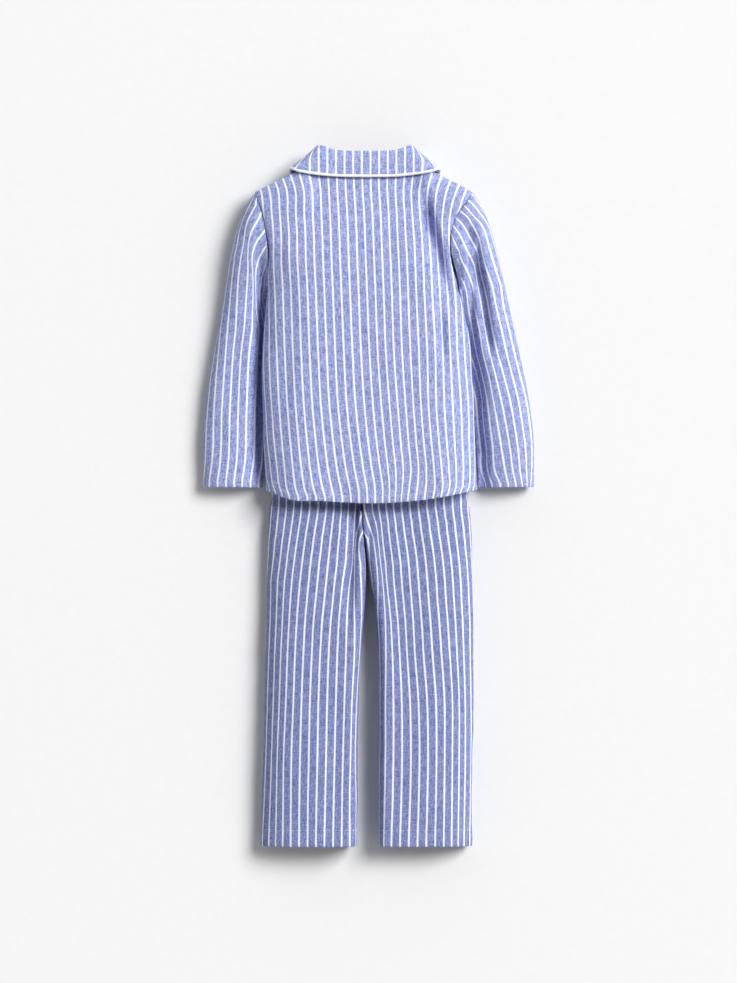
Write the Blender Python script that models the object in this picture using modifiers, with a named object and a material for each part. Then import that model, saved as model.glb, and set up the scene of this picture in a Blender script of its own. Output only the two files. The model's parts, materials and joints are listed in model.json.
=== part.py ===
"""A small child's striped pyjama set: a jacket with a piped collar, laid face down over its trousers.

Metres, +Z up.  The set lies on the floor at z = 0, hollow and softly filled out.  The collar points to
+Y, the hems to -Y, and the wearer's left side is at -X.  Every cloth piece is a wall of even thickness
on a surface that a short table describes.  The tables and the sizes below are in millimetres.
"""

from functools import partial

import bpy
import numpy as np

MM = 0.001
WALL = 1.5  # brushed cotton, with its nap
SEAM = 0.3  # gap between neighbouring pieces
SPARE_WIDTH = 0.5 * SEAM / 150  # half a seam, as a share of the narrowest panel
SPARE_LENGTH = 0.5 * SEAM / 450  # and as a share of the shortest one's length
SAMPLES = 161  # points on a section before it is divided evenly

# Rows and columns of each piece's grid
BACK_GRID = (20, 25)
FRONT_GRID = (20, 14)
SLEEVE_GRID = (16, 22)
COLLAR_GRID = (33, 13)
LEG_BACK_GRID = (22, 13)
LEG_FRONT_GRID = (22, 8)
WAISTBAND_GRID = (3, 40)

# Jacket
UNDERARM = 0.62  # where the armhole starts, as a share of the way from hem to shoulder
RIDGE = 0.84  # where the shoulder starts to round over
NECK_SHARE = 0.56  # half the neckline, as a share of half the shoulder width
NECK_RISE = 4.0  # the shoulder's neck end stands this far above the back neckline
FRONT_NECK_DROP = 50.0
SIDE_REACH_BACK = 58.0  # how far in the back rounds off beside a side seam
SIDE_REACH_FRONT = 26.0
CROWN = 2.0  # the back's fall from its middle to its sides, before it rounds off
NECK_BLEND = (NECK_SHARE - 0.12, NECK_SHARE + 0.04)  # where the neckline turns into the shoulder
NECK_ROUND = 2.4  # the front neckline's power: 2 would be an ellipse
NECK_CENTRE_Y = 410.0
NECK_RADIUS = 52.0
NECK_OVAL = 1.15  # the front neckline's width over its depth
PLACKET_HALF = 12.0  # half the fronts' overlap
STRIP_HALF = PLACKET_HALF + 5.0
FRONT_LIFT = 3.8  # the button strip and the collar's front leaves lie under the fronts
LIFT_FADE = 26.0
LEAF_REACH = NECK_RADIUS + 52.0  # how far the collar's leaves reach from the neck's centre
LAP_FADE = (PLACKET_HALF + 2.0, PLACKET_HALF + 22.0)
LAP_MORE = 0.6  # the fronts lie this share further apart at the neck
ARMHOLE_GAP = 2.5 * SEAM  # wider than a seam, because two thick edges meet at an angle

# Sleeves: how far in the crown and the underside round off, as shares of the width
OUTER_ROUND = 0.42
INNER_ROUND = {"left": 0.36, "right": 0.5}
UNDER_ROUND = 0.3

# Buttons
BUTTON_RADIUS = 5.5
BUTTON_THICKNESS = 2.4
BUTTON_EDGE = 0.5  # bevel of the edge at the back
BUTTON_TAPER = 0.3
BUTTON_RIM_WIDTH = 1.3
BUTTON_DISH = 0.5  # depth of the face inside the rim
BUTTON_SIDES = 14
BUTTON_HOLES = 4
BUTTON_HOLE_RADIUS = 0.9
BUTTON_HOLE_OFFSET = 1.6
BUTTONS_Y = (334.0, 246.0, 158.0, 70.0)

# Collar
COLLAR_WALL = 1.3
ROLL_RADIUS = 1.3  # half the gap between the stand's and the fall's middle surfaces at the roll
COLLAR_MIDDLE = -2.0
RIGHT_HALF = {"roll": 0.93, "edge": 0.95}  # the right half's reach over the left's
NECK_TURN = 0.44  # the place on the collar that meets the shoulder seams
NECK_END = 0.96  # the collar ends this share of the way round the front neckline
NECK_INSIDE = 1.2  # the collar stands this far inside the steep cloth below the shoulder seams
COLLAR_SEAM = 2 * SEAM  # an even thick edge meets a slanting one
FALL_ARCH = 1.2  # how far the fall bows out between the roll and its edge
PIPING_RADIUS = 1.6
PIPING_CLEAR = PIPING_RADIUS + 0.5  # from the collar's edge to the cord's middle
PIPING_LOW = PIPING_RADIUS + 0.1

# Trousers
WAISTBAND_DEPTH = 24.0
WAIST_DRAW = 0.03  # how much narrower the elastic band is at its top
JACKET_COVER = (-66.0, -38.0)  # the trousers rise over the jacket's fronts between these
CROTCH_Y = -76.0
OUTER_REACH = {"left": 66.0, "right": 46.0}  # how far in a leg rounds off from its side seam
INNER_REACH = {"left": 15.0, "right": 10.0}
UNDER_REACH = 22.0

CREASE_END = 0.3  # share of a crease's length that fades out at each end


def table(columns, *rows):
    """Rows of numbers as one array for each named column."""
    return dict(zip(columns.split(), np.array(rows, float).T))


TORSO = table(
    "along left middle right side_y centre_y side_back side_front height",
    (0.00, -128.0, 2.0, 136.0, 8.0, -9.0, 18.0, 18.0, 57.0),
    (0.10, -129.2, 2.0, 135.0, 36.0, 32.0, 22.0, 22.0, 57.5),
    (0.22, -131.6, 1.0, 133.0, 84.0, 84.0, 25.0, 25.0, 58.0),
    (0.35, -133.3, 0.0, 130.0, 144.0, 144.0, 27.0, 27.0, 59.0),
    (0.47, -131.8, -1.0, 126.5, 196.0, 196.0, 28.0, 28.0, 60.0),
    (0.57, -128.4, -1.5, 117.5, 238.0, 240.0, 28.0, 28.0, 60.0),
    (UNDERARM, -126.6, -2.0, 113.5, 258.0, 262.0, 27.0, 25.0, 60.0),
    (0.73, -125.6, -2.0, 102.3, 304.0, 310.0, 42.0, 8.0, 57.5),
    (RIDGE, -131.0, -2.0, 107.7, 345.0, 355.0, 41.0, 8.0, 50.0),
    (0.93, -138.5, -2.0, 123.8, 368.0, 386.0, 34.0, 14.0, 42.0),
    (1.00, -142.0, -2.0, 130.0, 379.0, 405.0, 25.0, 25.0, 35.0),
)

LEFT_SLEEVE = table(
    "along outer_x outer_y inner_x inner_y outer_z inner_z height",
    (0.07, -152.0, 362.0, -127.5, 253.0, 22.0, 23.0, 45.0),
    (0.16, -163.0, 336.0, -127.6, 246.0, 18.0, 19.0, 42.0),
    (0.26, -172.0, 300.0, -128.2, 232.0, 15.0, 16.0, 39.0),
    (0.38, -180.5, 248.0, -129.8, 206.0, 13.0, 13.0, 36.0),
    (0.54, -192.0, 183.0, -131.8, 164.0, 12.0, 12.0, 34.0),
    (0.70, -203.0, 119.0, -132.0, 112.0, 12.0, 11.0, 32.0),
    (0.85, -206.8, 68.0, -131.6, 65.0, 12.0, 10.0, 30.0),
    (1.00, -206.2, 11.5, -131.4, 11.0, 12.0, 10.0, 27.0),
)

RIGHT_SLEEVE = table(
    "along outer_x outer_y inner_x inner_y outer_z inner_z height",
    (0.07, 143.0, 358.0, 116.6, 253.0, 22.0, 22.0, 45.0),
    (0.16, 152.5, 334.0, 118.6, 246.0, 18.0, 18.0, 42.0),
    (0.26, 162.5, 298.0, 121.0, 232.0, 15.0, 15.0, 39.0),
    (0.38, 174.5, 248.0, 123.8, 206.0, 13.0, 12.0, 36.0),
    (0.54, 188.5, 183.0, 127.2, 164.0, 12.0, 11.0, 34.0),
    (0.70, 200.8, 119.0, 130.2, 112.0, 12.0, 11.0, 32.0),
    (0.85, 206.6, 68.0, 133.6, 65.0, 12.0, 10.0, 30.0),
    (1.00, 206.7, 11.5, 137.0, 11.0, 12.0, 10.0, 27.0),
)

SLEEVES = {"left": LEFT_SLEEVE, "right": RIGHT_SLEEVE}

LEFT_LEG = table(
    "along y outer inner outer_z inner_back inner_front height",
    (0.00, 100.0, -106.0, -1.0, 18.0, 32.0, 0.0, 33.0),
    (0.10, 50.0, -117.0, -5.0, 17.0, 32.0, 5.0, 33.0),
    (0.19, 0.0, -123.0, -9.0, 15.0, 31.5, 3.0, 33.5),
    (0.25, -30.0, -125.6, -8.0, 13.0, 31.0, 3.0, 35.5),
    (0.30, -56.0, -126.2, -5.0, 12.0, 28.5, 8.0, 39.2),
    (0.335, CROTCH_Y, -126.6, -4.0, 12.0, 20.0, 20.0, 40.5),
    (0.42, -120.0, -127.6, -5.2, 12.0, 18.0, 18.0, 42.5),
    (0.58, -205.0, -129.8, -10.6, 12.0, 16.0, 16.0, 45.5),
    (0.72, -280.0, -131.4, -14.6, 12.0, 15.0, 15.0, 47.5),
    (0.86, -360.0, -133.6, -13.6, 12.0, 14.0, 14.0, 47.5),
    (1.00, -437.2, -135.6, -14.6, 12.0, 14.0, 14.0, 45.0),
)

RIGHT_LEG = table(
    "along y outer inner outer_z inner_back inner_front height",
    (0.00, 100.0, 110.0, -0.6, 19.0, 32.0, 0.0, 34.0),
    (0.10, 50.0, 119.5, -4.6, 18.0, 32.0, 5.0, 34.0),
    (0.19, 0.0, 124.5, -8.6, 16.0, 31.5, 3.0, 34.5),
    (0.25, -30.0, 128.0, -7.6, 14.0, 31.0, 3.0, 35.5),
    (0.30, -56.0, 129.4, -4.6, 12.5, 28.5, 8.0, 38.2),
    (0.335, CROTCH_Y, 130.0, -3.6, 12.0, 20.0, 20.0, 39.0),
    (0.42, -120.0, 131.4, 2.0, 12.0, 18.0, 18.0, 41.0),
    (0.58, -205.0, 131.8, 9.0, 12.0, 16.0, 16.0, 42.5),
    (0.72, -280.0, 131.2, 11.6, 12.0, 15.0, 15.0, 43.5),
    (0.86, -360.0, 129.6, 14.0, 12.0, 14.0, 14.0, 42.5),
    (1.00, -437.2, 130.0, 15.6, 12.0, 14.0, 14.0, 41.0),
)

LEGS = {"left": LEFT_LEG, "right": RIGHT_LEG}

# Half of the collar's roll and outer edge, from the middle of the back round to the front,
# for the left side.  turn is the way the fall faces: 90 up, 180 to the side, 270 down.
COLLAR = table(
    "along roll_x roll_y roll_z edge_x edge_y edge_z turn",
    (0.00, 0.0, 428.3, 36.5, 0.0, 400.5, 43.0, 90.0),
    (0.16, 35.0, 429.3, 35.5, 40.0, 401.3, 43.0, 94.0),
    (0.30, 57.0, 435.2, 33.0, 72.0, 404.5, 44.5, 106.0),
    (0.40, 63.5, 434.4, 27.0, 86.0, 407.0, 43.5, 126.0),
    (0.48, 67.5, 428.0, 20.0, 93.0, 409.5, 33.0, 172.0),
    (0.58, 67.0, 414.0, 11.5, 93.0, 403.5, 9.5, 222.0),
    (0.72, 58.0, 388.0, 5.6, 82.0, 370.0, 2.0, 260.0),
    (0.86, 35.0, 368.0, 3.8, 60.0, 342.0, 2.0, 270.0),
    (1.00, 4.4, 358.8, 3.4, 36.0, 316.0, 2.0, 270.0),
)

# Creases pressed into the upper walls: from, to, half width and depth.
CREASES = {
    "jacket_back": table(
        "from_x from_y to_x to_y half_width depth",
        (68.0, 392.0, 104.0, 214.0, 8.0, 3.4),
        (-40.0, 10.0, -22.0, -30.0, 10.0, 2.0),
        (-96.0, 300.0, -104.0, 120.0, 14.0, 1.8),
    ),
    "sleeve_left": table(
        "from_x from_y to_x to_y half_width depth",
        (-131.0, 400.0, -143.0, -60.0, 10.0, 16.0),
        (-176.0, 250.0, -168.0, 70.0, 10.0, 1.6),
    ),
    "sleeve_right": table(
        "from_x from_y to_x to_y half_width depth",
        (133.0, 345.0, 157.0, 190.0, 7.0, 8.0),
        (122.0, 380.0, 146.0, -60.0, 11.0, 12.0),
    ),
    "left": table(
        "from_x from_y to_x to_y half_width depth",
        (-20.0, 30.0, -22.0, -170.0, 7.0, 8.0),
        (-74.0, -120.0, -70.0, -330.0, 12.0, 1.6),
    ),
    "right": table(
        "from_x from_y to_x to_y half_width depth",
        (30.0, -70.0, 44.0, -250.0, 12.0, 2.0),
        (92.0, -180.0, 98.0, -400.0, 12.0, 1.6),
    ),
}


def follow(rows, column, at, key="along"):
    """The column's value at these places, on a smooth curve through the table's rows."""
    keys = rows[key]
    values = rows[column] if isinstance(column, str) else column
    slopes = np.gradient(values, keys, axis=0)
    at = np.asarray(at, float)
    i = np.clip(np.searchsorted(keys, at, side="right") - 1, 0, len(keys) - 2)
    span = keys[i + 1] - keys[i]
    f = (at - keys[i]) / span
    if values.ndim > 1:
        shape = f.shape + (1,) * (values.ndim - 1)
        f = f.reshape(shape)
        span = span.reshape(shape)
    rise = values[i + 1] - values[i]
    start = slopes[i] * span
    end = slopes[i + 1] * span
    return values[i] + f * (start + f * (3 * rise - 2 * start - end + f * (start + end - 2 * rise)))


def ease(value, low, high):
    """0 below low, 1 above high, and smooth between them."""
    share = np.clip((value - low) / (high - low), 0, 1)
    return share * share * (3 - 2 * share)


def mix(a, b, share):
    return a + (b - a) * share


def corner(distance, reach):
    """How far a rounded edge has turned: 1 at the edge, 0 at reach inside it."""
    inside = np.clip(1 - distance / reach, 0, 1)
    return 1 - np.sqrt(1 - inside**2)


def crease(name, x, y):
    """How deep the creases of this piece are at these places."""
    depth = np.zeros(np.broadcast(x, y).shape)
    rows = CREASES[name]
    for x0, y0, x1, y1, half_width, deep in zip(*rows.values()):
        length = np.hypot(x1 - x0, y1 - y0)
        along = ((x - x0) * (x1 - x0) + (y - y0) * (y1 - y0)) / length**2
        across = ((x - x0) * (y1 - y0) - (y - y0) * (x1 - x0)) / length
        ends = ease(along, 0, CREASE_END) * ease(1 - along, 0, CREASE_END)
        depth = depth + deep * ends * np.exp(-((across / half_width) ** 2))
    return depth


def even(lines, shares):
    """The points at these shares of each line's length.  lines is (rows, samples, 3)."""
    steps = np.linalg.norm(np.diff(lines, axis=1), axis=2)
    reach = np.concatenate([np.zeros((len(lines), 1)), np.cumsum(steps, axis=1)], axis=1)
    reach /= reach[:, -1:]
    return np.array(
        [[np.interp(shares, r, line[:, axis]) for axis in range(3)] for r, line in zip(reach, lines)]
    ).transpose(0, 2, 1)


def crowded(low, high, count=SAMPLES):
    """Numbers from low to high, closer together towards both ends."""
    return mix(low, high, (1 - np.cos(np.linspace(0, np.pi, count))) / 2)


# ---------------------------------------------------------------- jacket body


def shoulder_bend(across):
    """The share of a row's fall from centre to side, on the shoulder line."""
    reach = np.abs(across)
    rise = -NECK_RISE / (follow(TORSO, "centre_y", 1.0) - follow(TORSO, "side_y", 1.0))
    slope = mix(rise, 1.0, (reach - NECK_SHARE) / (1 - NECK_SHARE))
    return np.where(reach < NECK_SHARE, rise * (reach / NECK_SHARE) ** 2, slope)


def torso_plan(along, across):
    """Plan position on the jacket's body.  across runs from -1 at the left side to 1 at the right."""
    over = ease(np.abs(across), *NECK_BLEND)
    round_off = np.clip((along - RIDGE) / (1 - RIDGE), 0, 1)
    turned = mix(round_off, np.sin(round_off * np.pi / 2), over)
    at = np.where(along > RIDGE, RIDGE + (1 - RIDGE) * turned, along)
    x = follow(TORSO, "middle", at) + across * half_width(at, across)
    centre_y = follow(TORSO, "centre_y", at)
    side_y = follow(TORSO, "side_y", at)
    bend = mix(across**2, shoulder_bend(across), ease(at, UNDERARM, 1.0))
    return x, mix(centre_y, side_y, bend)


def torso_rise(along, across):
    """The place in the height columns: heights change late where the shoulder rounds over."""
    over = ease(np.abs(across), *NECK_BLEND)
    round_off = np.clip((along - RIDGE) / (1 - RIDGE), 0, 1)
    turned = mix(round_off, 1 - np.cos(round_off * np.pi / 2), over)
    return np.where(along > RIDGE, RIDGE + (1 - RIDGE) * turned, along)


def half_width(along, across):
    """From the body's middle line out to its left or right side."""
    middle = follow(TORSO, "middle", along)
    right = follow(TORSO, "right", along) - middle
    return np.where(across < 0, middle - follow(TORSO, "left", along), right)


def back_height(along, across):
    at = torso_rise(along, across)
    side = follow(TORSO, "side_back", at)
    height = follow(TORSO, "height", at) - CROWN * across**2
    distance = (1 - np.abs(across)) * half_width(along, across)
    return mix(height, side, corner(distance, SIDE_REACH_BACK))


def jacket_back(along, shares):
    along = np.asarray(along, float)[:, None]
    across = crowded(-1, 1)[None, :]
    x, y = torso_plan(along, across)
    z = back_height(along, across) - crease("jacket_back", x, y)
    return even(np.stack([x, y, z + 0 * x], axis=-1), shares)


def front_lift(x, y):
    """The fronts lie flat, but for the button strip and over the collar's leaves."""
    strip = 1 - ease(np.abs(x), STRIP_HALF, STRIP_HALF + LIFT_FADE)
    leaf = 1 - ease(np.hypot(x / NECK_OVAL, y - NECK_CENTRE_Y), LEAF_REACH, LEAF_REACH + LIFT_FADE)
    return FRONT_LIFT * (1 - (1 - strip) * (1 - leaf))


def front_plan(along, across):
    x, y = torso_plan(along, across)
    in_neck = np.clip(np.abs(across) / NECK_SHARE, 0, 1)
    drop = FRONT_NECK_DROP * np.sqrt(1 - in_neck**NECK_ROUND)
    return x, y - drop * ease(along, 0.45, 1)


def shoulder_round(along, across, y):
    """How far the front has rounded up to the shoulder: 0 on the flat, 1 at the shoulder seam."""
    top = torso_plan(np.ones_like(along), across)[1]
    low = torso_plan(np.full_like(along, RIDGE), across)[1]
    beside_neck = np.clip((y - low) / (top - low), 0, 1)
    on_shoulder = np.clip((along - RIDGE) / (1 - RIDGE), 0, 1)
    share = mix(beside_neck, on_shoulder, ease(np.abs(across), *NECK_BLEND))
    return 1 - np.sqrt(1 - share**2)


def front_height(along, across, x, y):
    at = torso_rise(along, across)
    lift = front_lift(x, y)
    distance = (1 - np.abs(across)) * half_width(along, across)
    side = corner(distance, SIDE_REACH_FRONT)
    ridge = shoulder_round(along, across, y)
    shoulder = back_height(np.ones_like(along), across)
    edge = np.minimum(follow(TORSO, "side_front", at), follow(TORSO, "side_back", at))
    rise = side * (edge - lift)
    return lift + rise + (1 - side) * ridge * (shoulder - lift)


def lap(x, along):
    """How far the right front is raised over the left one, inside the jacket."""
    more = 1 + LAP_MORE * ease(along, RIDGE, 1)
    return (WALL + SEAM) * more * (1 - ease(x, *LAP_FADE))


def jacket_front(side, along, shares):
    """One front, from its side seam to just past the centre.  The right front laps inside the left."""
    along = np.asarray(along, float)[:, None]
    sign = -1 if side == "left" else 1
    past = -sign * PLACKET_HALF / half_width(along, -sign)
    across = mix(sign * 1.0, past, crowded(0, 1)[None, :])
    x, y = front_plan(along, across)
    z = front_height(along, across, x, y)
    if side == "right":
        z = z + lap(x, along)
    return even(np.stack([x, y, z], axis=-1), shares)


# ---------------------------------------------------------------- sleeves


def armhole(side, count):
    """The closed armhole edge: shoulder, down the back to the underarm, and up the front."""
    sign = -1.0 if side == "left" else 1.0
    down = np.linspace(1, UNDERARM, 60)[:, None]
    x, y = torso_plan(down, np.full((1, 1), sign))
    back = np.concatenate([x, y, back_height(down, np.full((1, 1), sign))], axis=1)
    x, y = front_plan(down, np.full((1, 1), sign))
    front = np.concatenate([x, y, front_height(down, np.full((1, 1), sign), x, y)], axis=1)
    middle = 0.5 * (back[-1] + front[-1])
    back[-1] = middle
    front[-1] = middle
    shares = np.linspace(0, 1, count // 2 + 1)
    over = even(back[None], shares)[0]
    under = even(front[None, ::-1], shares)[0]
    return np.concatenate([over, under[1:-1]])


def sleeve_ring(side, i, count):
    """One closed section of a sleeve: over its crown from outer to inner edge, and back underneath."""
    row = {column: values[i] for column, values in SLEEVES[side].items()}
    share = crowded(0, 1)
    x = mix(row["outer_x"], row["inner_x"], share)
    y = mix(row["outer_y"], row["inner_y"], share)
    outer = corner(share, OUTER_ROUND)
    inner = corner(1 - share, INNER_ROUND[side])
    height = row["height"]
    top = height - outer * (height - row["outer_z"]) - inner * (height - row["inner_z"])
    top = top - crease("sleeve_" + side, x, y) * (1 - outer) * (1 - inner)
    outer = corner(share, UNDER_ROUND)
    inner = corner(1 - share, UNDER_ROUND)
    bottom = outer * row["outer_z"] + inner * row["inner_z"]
    shares = np.linspace(0, 1, count // 2 + 1)
    over = even(np.stack([x, y, top], axis=-1)[None], shares)[0]
    under = even(np.stack([x, y, bottom], axis=-1)[None, ::-1], shares)[0]
    return np.concatenate([over, under[1:-1]])


def sleeve(side, length_rows, count):
    """The sleeve's rings, from the armhole to the cuff."""
    rows = SLEEVES[side]
    rings = [armhole(side, count)]
    rings += [sleeve_ring(side, i, count) for i in range(len(rows["along"]))]
    rings = np.array(rings)
    keys = np.concatenate([[0.0], rows["along"]])
    toward = rings[1] - rings[0]
    toward /= np.linalg.norm(toward, axis=1, keepdims=True)
    rings[0] += ARMHOLE_GAP * toward
    points = follow({"along": keys}, rings, np.linspace(0, 1, length_rows))
    points[..., 2] = np.maximum(points[..., 2], 0)
    return points


# ---------------------------------------------------------------- trousers


def inside_jacket(y):
    """1 where the trousers lie inside the jacket, 0 outside its hem."""
    return ease(y, *JACKET_COVER)


def leg_rows(side, along):
    along = np.asarray(along, float)[:, None]
    return {column: follow(LEGS[side], column, along) for column in LEGS[side]}


def trouser_back(side, along, shares):
    row = leg_rows(side, along)
    share = crowded(0, 1)[None, :]
    x = mix(row["outer"], row["inner"], share)
    y = row["y"] + 0 * x
    outer = corner(np.abs(x - row["outer"]), OUTER_REACH[side])
    inner = corner(np.abs(x - row["inner"]), INNER_REACH[side])
    z = row["height"] - outer * (row["height"] - row["outer_z"])
    z = z - inner * (row["height"] - row["inner_back"])
    z = z - crease(side, x, y) * (1 - outer) * (1 - inner)
    return even(np.stack([x, y, z], axis=-1), shares)


def trouser_front(side, along, shares):
    row = leg_rows(side, along)
    share = crowded(0, 1)[None, :]
    x = mix(row["outer"], row["inner"], share)
    y = row["y"] + 0 * x
    lapped = (WALL + SEAM) * (1 - ease(np.abs(x), STRIP_HALF, STRIP_HALF + LIFT_FADE))
    floor = inside_jacket(y) * (WALL + 2 * SEAM + front_lift(x, y) + lapped)
    outer = corner(np.abs(x - row["outer"]), UNDER_REACH)
    inner = corner(np.abs(x - row["inner"]), UNDER_REACH)
    crotch = np.maximum(np.minimum(row["inner_front"], row["inner_back"]) - floor, 0)
    crotch = crotch * (1 - inside_jacket(y))
    z = floor + outer * (row["outer_z"] - floor) + inner * crotch
    return even(np.stack([x, y, z], axis=-1), shares)


def waistband(rows, count):
    """The elastic band's rings, which carry on from the trousers' waist and draw in a little."""
    shares = np.linspace(0, 1, count // 4 + 1)
    over_left = trouser_back("left", [0.0], shares)[0]
    over_right = trouser_back("right", [0.0], shares)[0][::-1]
    under_right = trouser_front("right", [0.0], shares)[0]
    under_left = trouser_front("left", [0.0], shares)[0][::-1]
    ring = np.concatenate([over_left, over_right[1:-1], under_right, under_left[1:-1]])
    rings = []
    for share in np.linspace(0, 1, rows):
        level = ring.copy()
        level[:, 0] *= 1 - WAIST_DRAW * share
        level[:, 1] += SEAM + share * WAISTBAND_DEPTH
        rings.append(level)
    return np.array(rings)


# ---------------------------------------------------------------- collar


def neckline(along):
    """The middle of the neck's cut edge: 0 is the centre back, -1 and 1 the centre front."""
    at = np.abs(along)
    round_front = np.clip((at - NECK_TURN) / (1 - NECK_TURN), 0, 1) * NECK_END * np.pi / 2
    in_neck = np.where(at < NECK_TURN, at / NECK_TURN, np.cos(round_front) ** (2 / NECK_ROUND))
    across = np.sign(along) * NECK_SHARE * in_neck
    top = np.ones_like(across)
    at_back = at < NECK_TURN
    x, back_y = torso_plan(top, across)
    front_y = front_plan(top, across)[1]
    under = front_height(top, across, x, front_y) + np.where(along > 0, lap(x, top), 0)
    y = np.where(at_back, back_y, front_y)
    z = np.where(at_back, back_height(top, across), under)
    past_shoulder = at - NECK_TURN
    middle = 0.5 * WALL * mix(-1, 1, ease(past_shoulder, -0.06, 0.06))
    steep = ease(past_shoulder, -0.05, 0.02) * (1 - ease(past_shoulder, 0.14, 0.24))
    return np.stack([x - np.sign(along) * NECK_INSIDE * steep, y, z + middle], axis=-1)


def collar_row(along):
    """Seam, roll and edge points and the way the fall faces, at each place.  along is -1 to 1."""
    along = np.asarray(along, float)
    sign = np.where(along < 0, -1.0, 1.0)
    at = np.abs(along)
    points = []
    for part in ("roll", "edge"):
        x, y, z = (follow(COLLAR, part + axis, at) for axis in ("_x", "_y", "_z"))
        reach = np.where(along < 0, -1.0, mix(1.0, RIGHT_HALF[part], ease(x, 10, 60)))
        points.append(np.stack([COLLAR_MIDDLE + reach * x, y, z], axis=-1))
    turn = np.radians(follow(COLLAR, "turn", at))
    out = np.stack([-sign * np.cos(turn), 0 * turn, np.sin(turn)], axis=-1)
    cut = neckline(along)
    up = points[0] - cut
    seam = cut + COLLAR_SEAM * up / np.linalg.norm(up, axis=1, keepdims=True)
    return seam, points[0], points[1], out


def collar(along, shares):
    """The collar's middle surface: up the stand, over the roll and down the fall."""
    seam, roll, edge, out = (part[:, None, :] for part in collar_row(along))
    up = roll - seam
    up = up / np.linalg.norm(up, axis=2, keepdims=True)
    half_turn = np.linspace(0, np.pi, 13)[None, :, None]
    rolled = roll + ROLL_RADIUS * (np.sin(half_turn) * up - np.cos(half_turn) * out)
    share = np.linspace(0, 1, 40)[None, :, None]
    stand = mix(seam, rolled[:, :1], share[:, :-1])
    fall = mix(rolled[:, -1:], edge, share[:, 1:]) + FALL_ARCH * np.sin(np.pi * share[:, 1:]) * out
    return even(np.concatenate([stand, rolled, fall], axis=1), shares)


def piping_path():
    """The cord's middle: up one leaf's front edge, round the collar's outer edge, and back."""
    along = np.linspace(-1, 1, 41)
    lines = collar(along, np.array([0.5, 0.55, 0.9, 1.0]))
    down = lines[:, 3] - lines[:, 2]
    down /= np.linalg.norm(down, axis=1, keepdims=True)
    edge = lines[:, 3] + PIPING_CLEAR * down
    path = []
    for end, step in ((0, 1), (-1, -1)):
        toward = lines[end, 3] - lines[end + step, 3]
        toward -= np.dot(toward, down[end]) * down[end]
        toward *= PIPING_CLEAR / np.linalg.norm(toward)
        front = [mix(lines[end, 1], lines[end, 3], share) + toward for share in np.linspace(0, 1, 4)]
        front.append(edge[end] + 0.75 * toward)
        path.append(front)
    path = np.array(path[0] + list(edge[1:-1]) + path[1][::-1])
    path[:, 2] = np.maximum(path[:, 2], PIPING_LOW)
    return path


# ---------------------------------------------------------------- walls and meshes


def material(name, colour, roughness):
    made = bpy.data.materials.new(name)
    made.use_nodes = True
    shader = made.node_tree.nodes["Principled BSDF"]
    shader.inputs["Base Color"].default_value = (*colour, 1)
    shader.inputs["Roughness"].default_value = roughness
    shader.inputs["Metallic"].default_value = 0
    return made


def outward(surface, along, shares, sign, start=0):
    """The surface's unit normals, from two close points each way.  along runs from start to 1."""
    step = 1e-3
    along = np.asarray(along, float)
    shares = np.asarray(shares, float)
    up = surface(np.minimum(along + step, 1), shares) - surface(np.maximum(along - step, start), shares)
    over = surface(along, np.minimum(shares + step, 1)) - surface(along, np.maximum(shares - step, 0))
    normal = sign * np.cross(over, up)
    return normal / np.linalg.norm(normal, axis=2, keepdims=True)


def grid_faces(rows, columns, round_about):
    """Quads of one grid of points, joined round its columns where it is a tube."""
    faces = []
    for low in range(0, (rows - 1) * columns, columns):
        for c in range(columns if round_about else columns - 1):
            beside = (c + 1) % columns
            faces.append((low + c, low + beside, low + columns + beside, low + columns + c))
    return faces


def rim(rows, columns, round_about):
    """The grid's border, one closed loop of indices or two."""
    low = list(range(columns))
    high = [(rows - 1) * columns + c for c in range(columns)]
    if round_about:
        return [low, high[::-1]]
    right = [r * columns + columns - 1 for r in range(1, rows - 1)]
    left = [r * columns for r in range(rows - 2, 0, -1)]
    return [low + right + high[::-1] + left]


def wall(name, outer, normals, cloth, thickness=WALL, round_about=False):
    """A closed wall between a grid of outer points and the same grid moved in by its thickness."""
    rows, columns = outer.shape[:2]
    inner = outer - thickness * normals
    count = rows * columns
    faces = grid_faces(rows, columns, round_about)
    inside = [tuple(count + i for i in face[::-1]) for face in faces]
    edges = []
    for loop in rim(rows, columns, round_about):
        edges += [(b, a, count + a, count + b) for a, b in zip(loop, loop[1:] + loop[:1])]
    points = np.concatenate([outer.reshape(-1, 3), inner.reshape(-1, 3)]) * MM
    faces = faces + inside + edges
    if volume(points, faces) < 0:
        faces = [face[::-1] for face in faces]
    mesh = bpy.data.meshes.new(name)
    mesh.from_pydata(points.tolist(), [], faces)
    mesh.validate()
    mesh.shade_smooth()
    return place(name, mesh, cloth)


def volume(points, faces):
    total = 0.0
    for a, b, c, d in faces:
        total += np.dot(points[a], np.cross(points[b], points[c]))
        total += np.dot(points[a], np.cross(points[c], points[d]))
    return total


def place(name, mesh, cloth):
    mesh.materials.append(cloth)
    made = bpy.data.objects.new(name, mesh)
    bpy.data.collections["pyjama_set"].objects.link(made)
    return made


def panel(name, surface, grid, sign, cloth):
    """A cut piece: its surface divided into rows and columns, half a seam inside its own edges."""
    along = np.linspace(SPARE_LENGTH, 1 - SPARE_LENGTH, grid[0])
    shares = np.linspace(SPARE_WIDTH, 1 - SPARE_WIDTH, grid[1])
    outer = surface(along, shares)
    wall(name, outer, outward(surface, along, shares, sign), cloth)


def tube(name, points, cloth):
    """A wall on closed rings, whose normals come from the neighbouring rings and points."""
    over = np.roll(points, -1, axis=1) - np.roll(points, 1, axis=1)
    up = np.gradient(points, axis=0)
    normal = np.cross(over, up)
    normal /= np.linalg.norm(normal, axis=2, keepdims=True)
    centre = points.mean(axis=1, keepdims=True)
    sign = np.sign(np.sum(normal * (points - centre)))
    wall(name, points, sign * normal, cloth, round_about=True)


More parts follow.
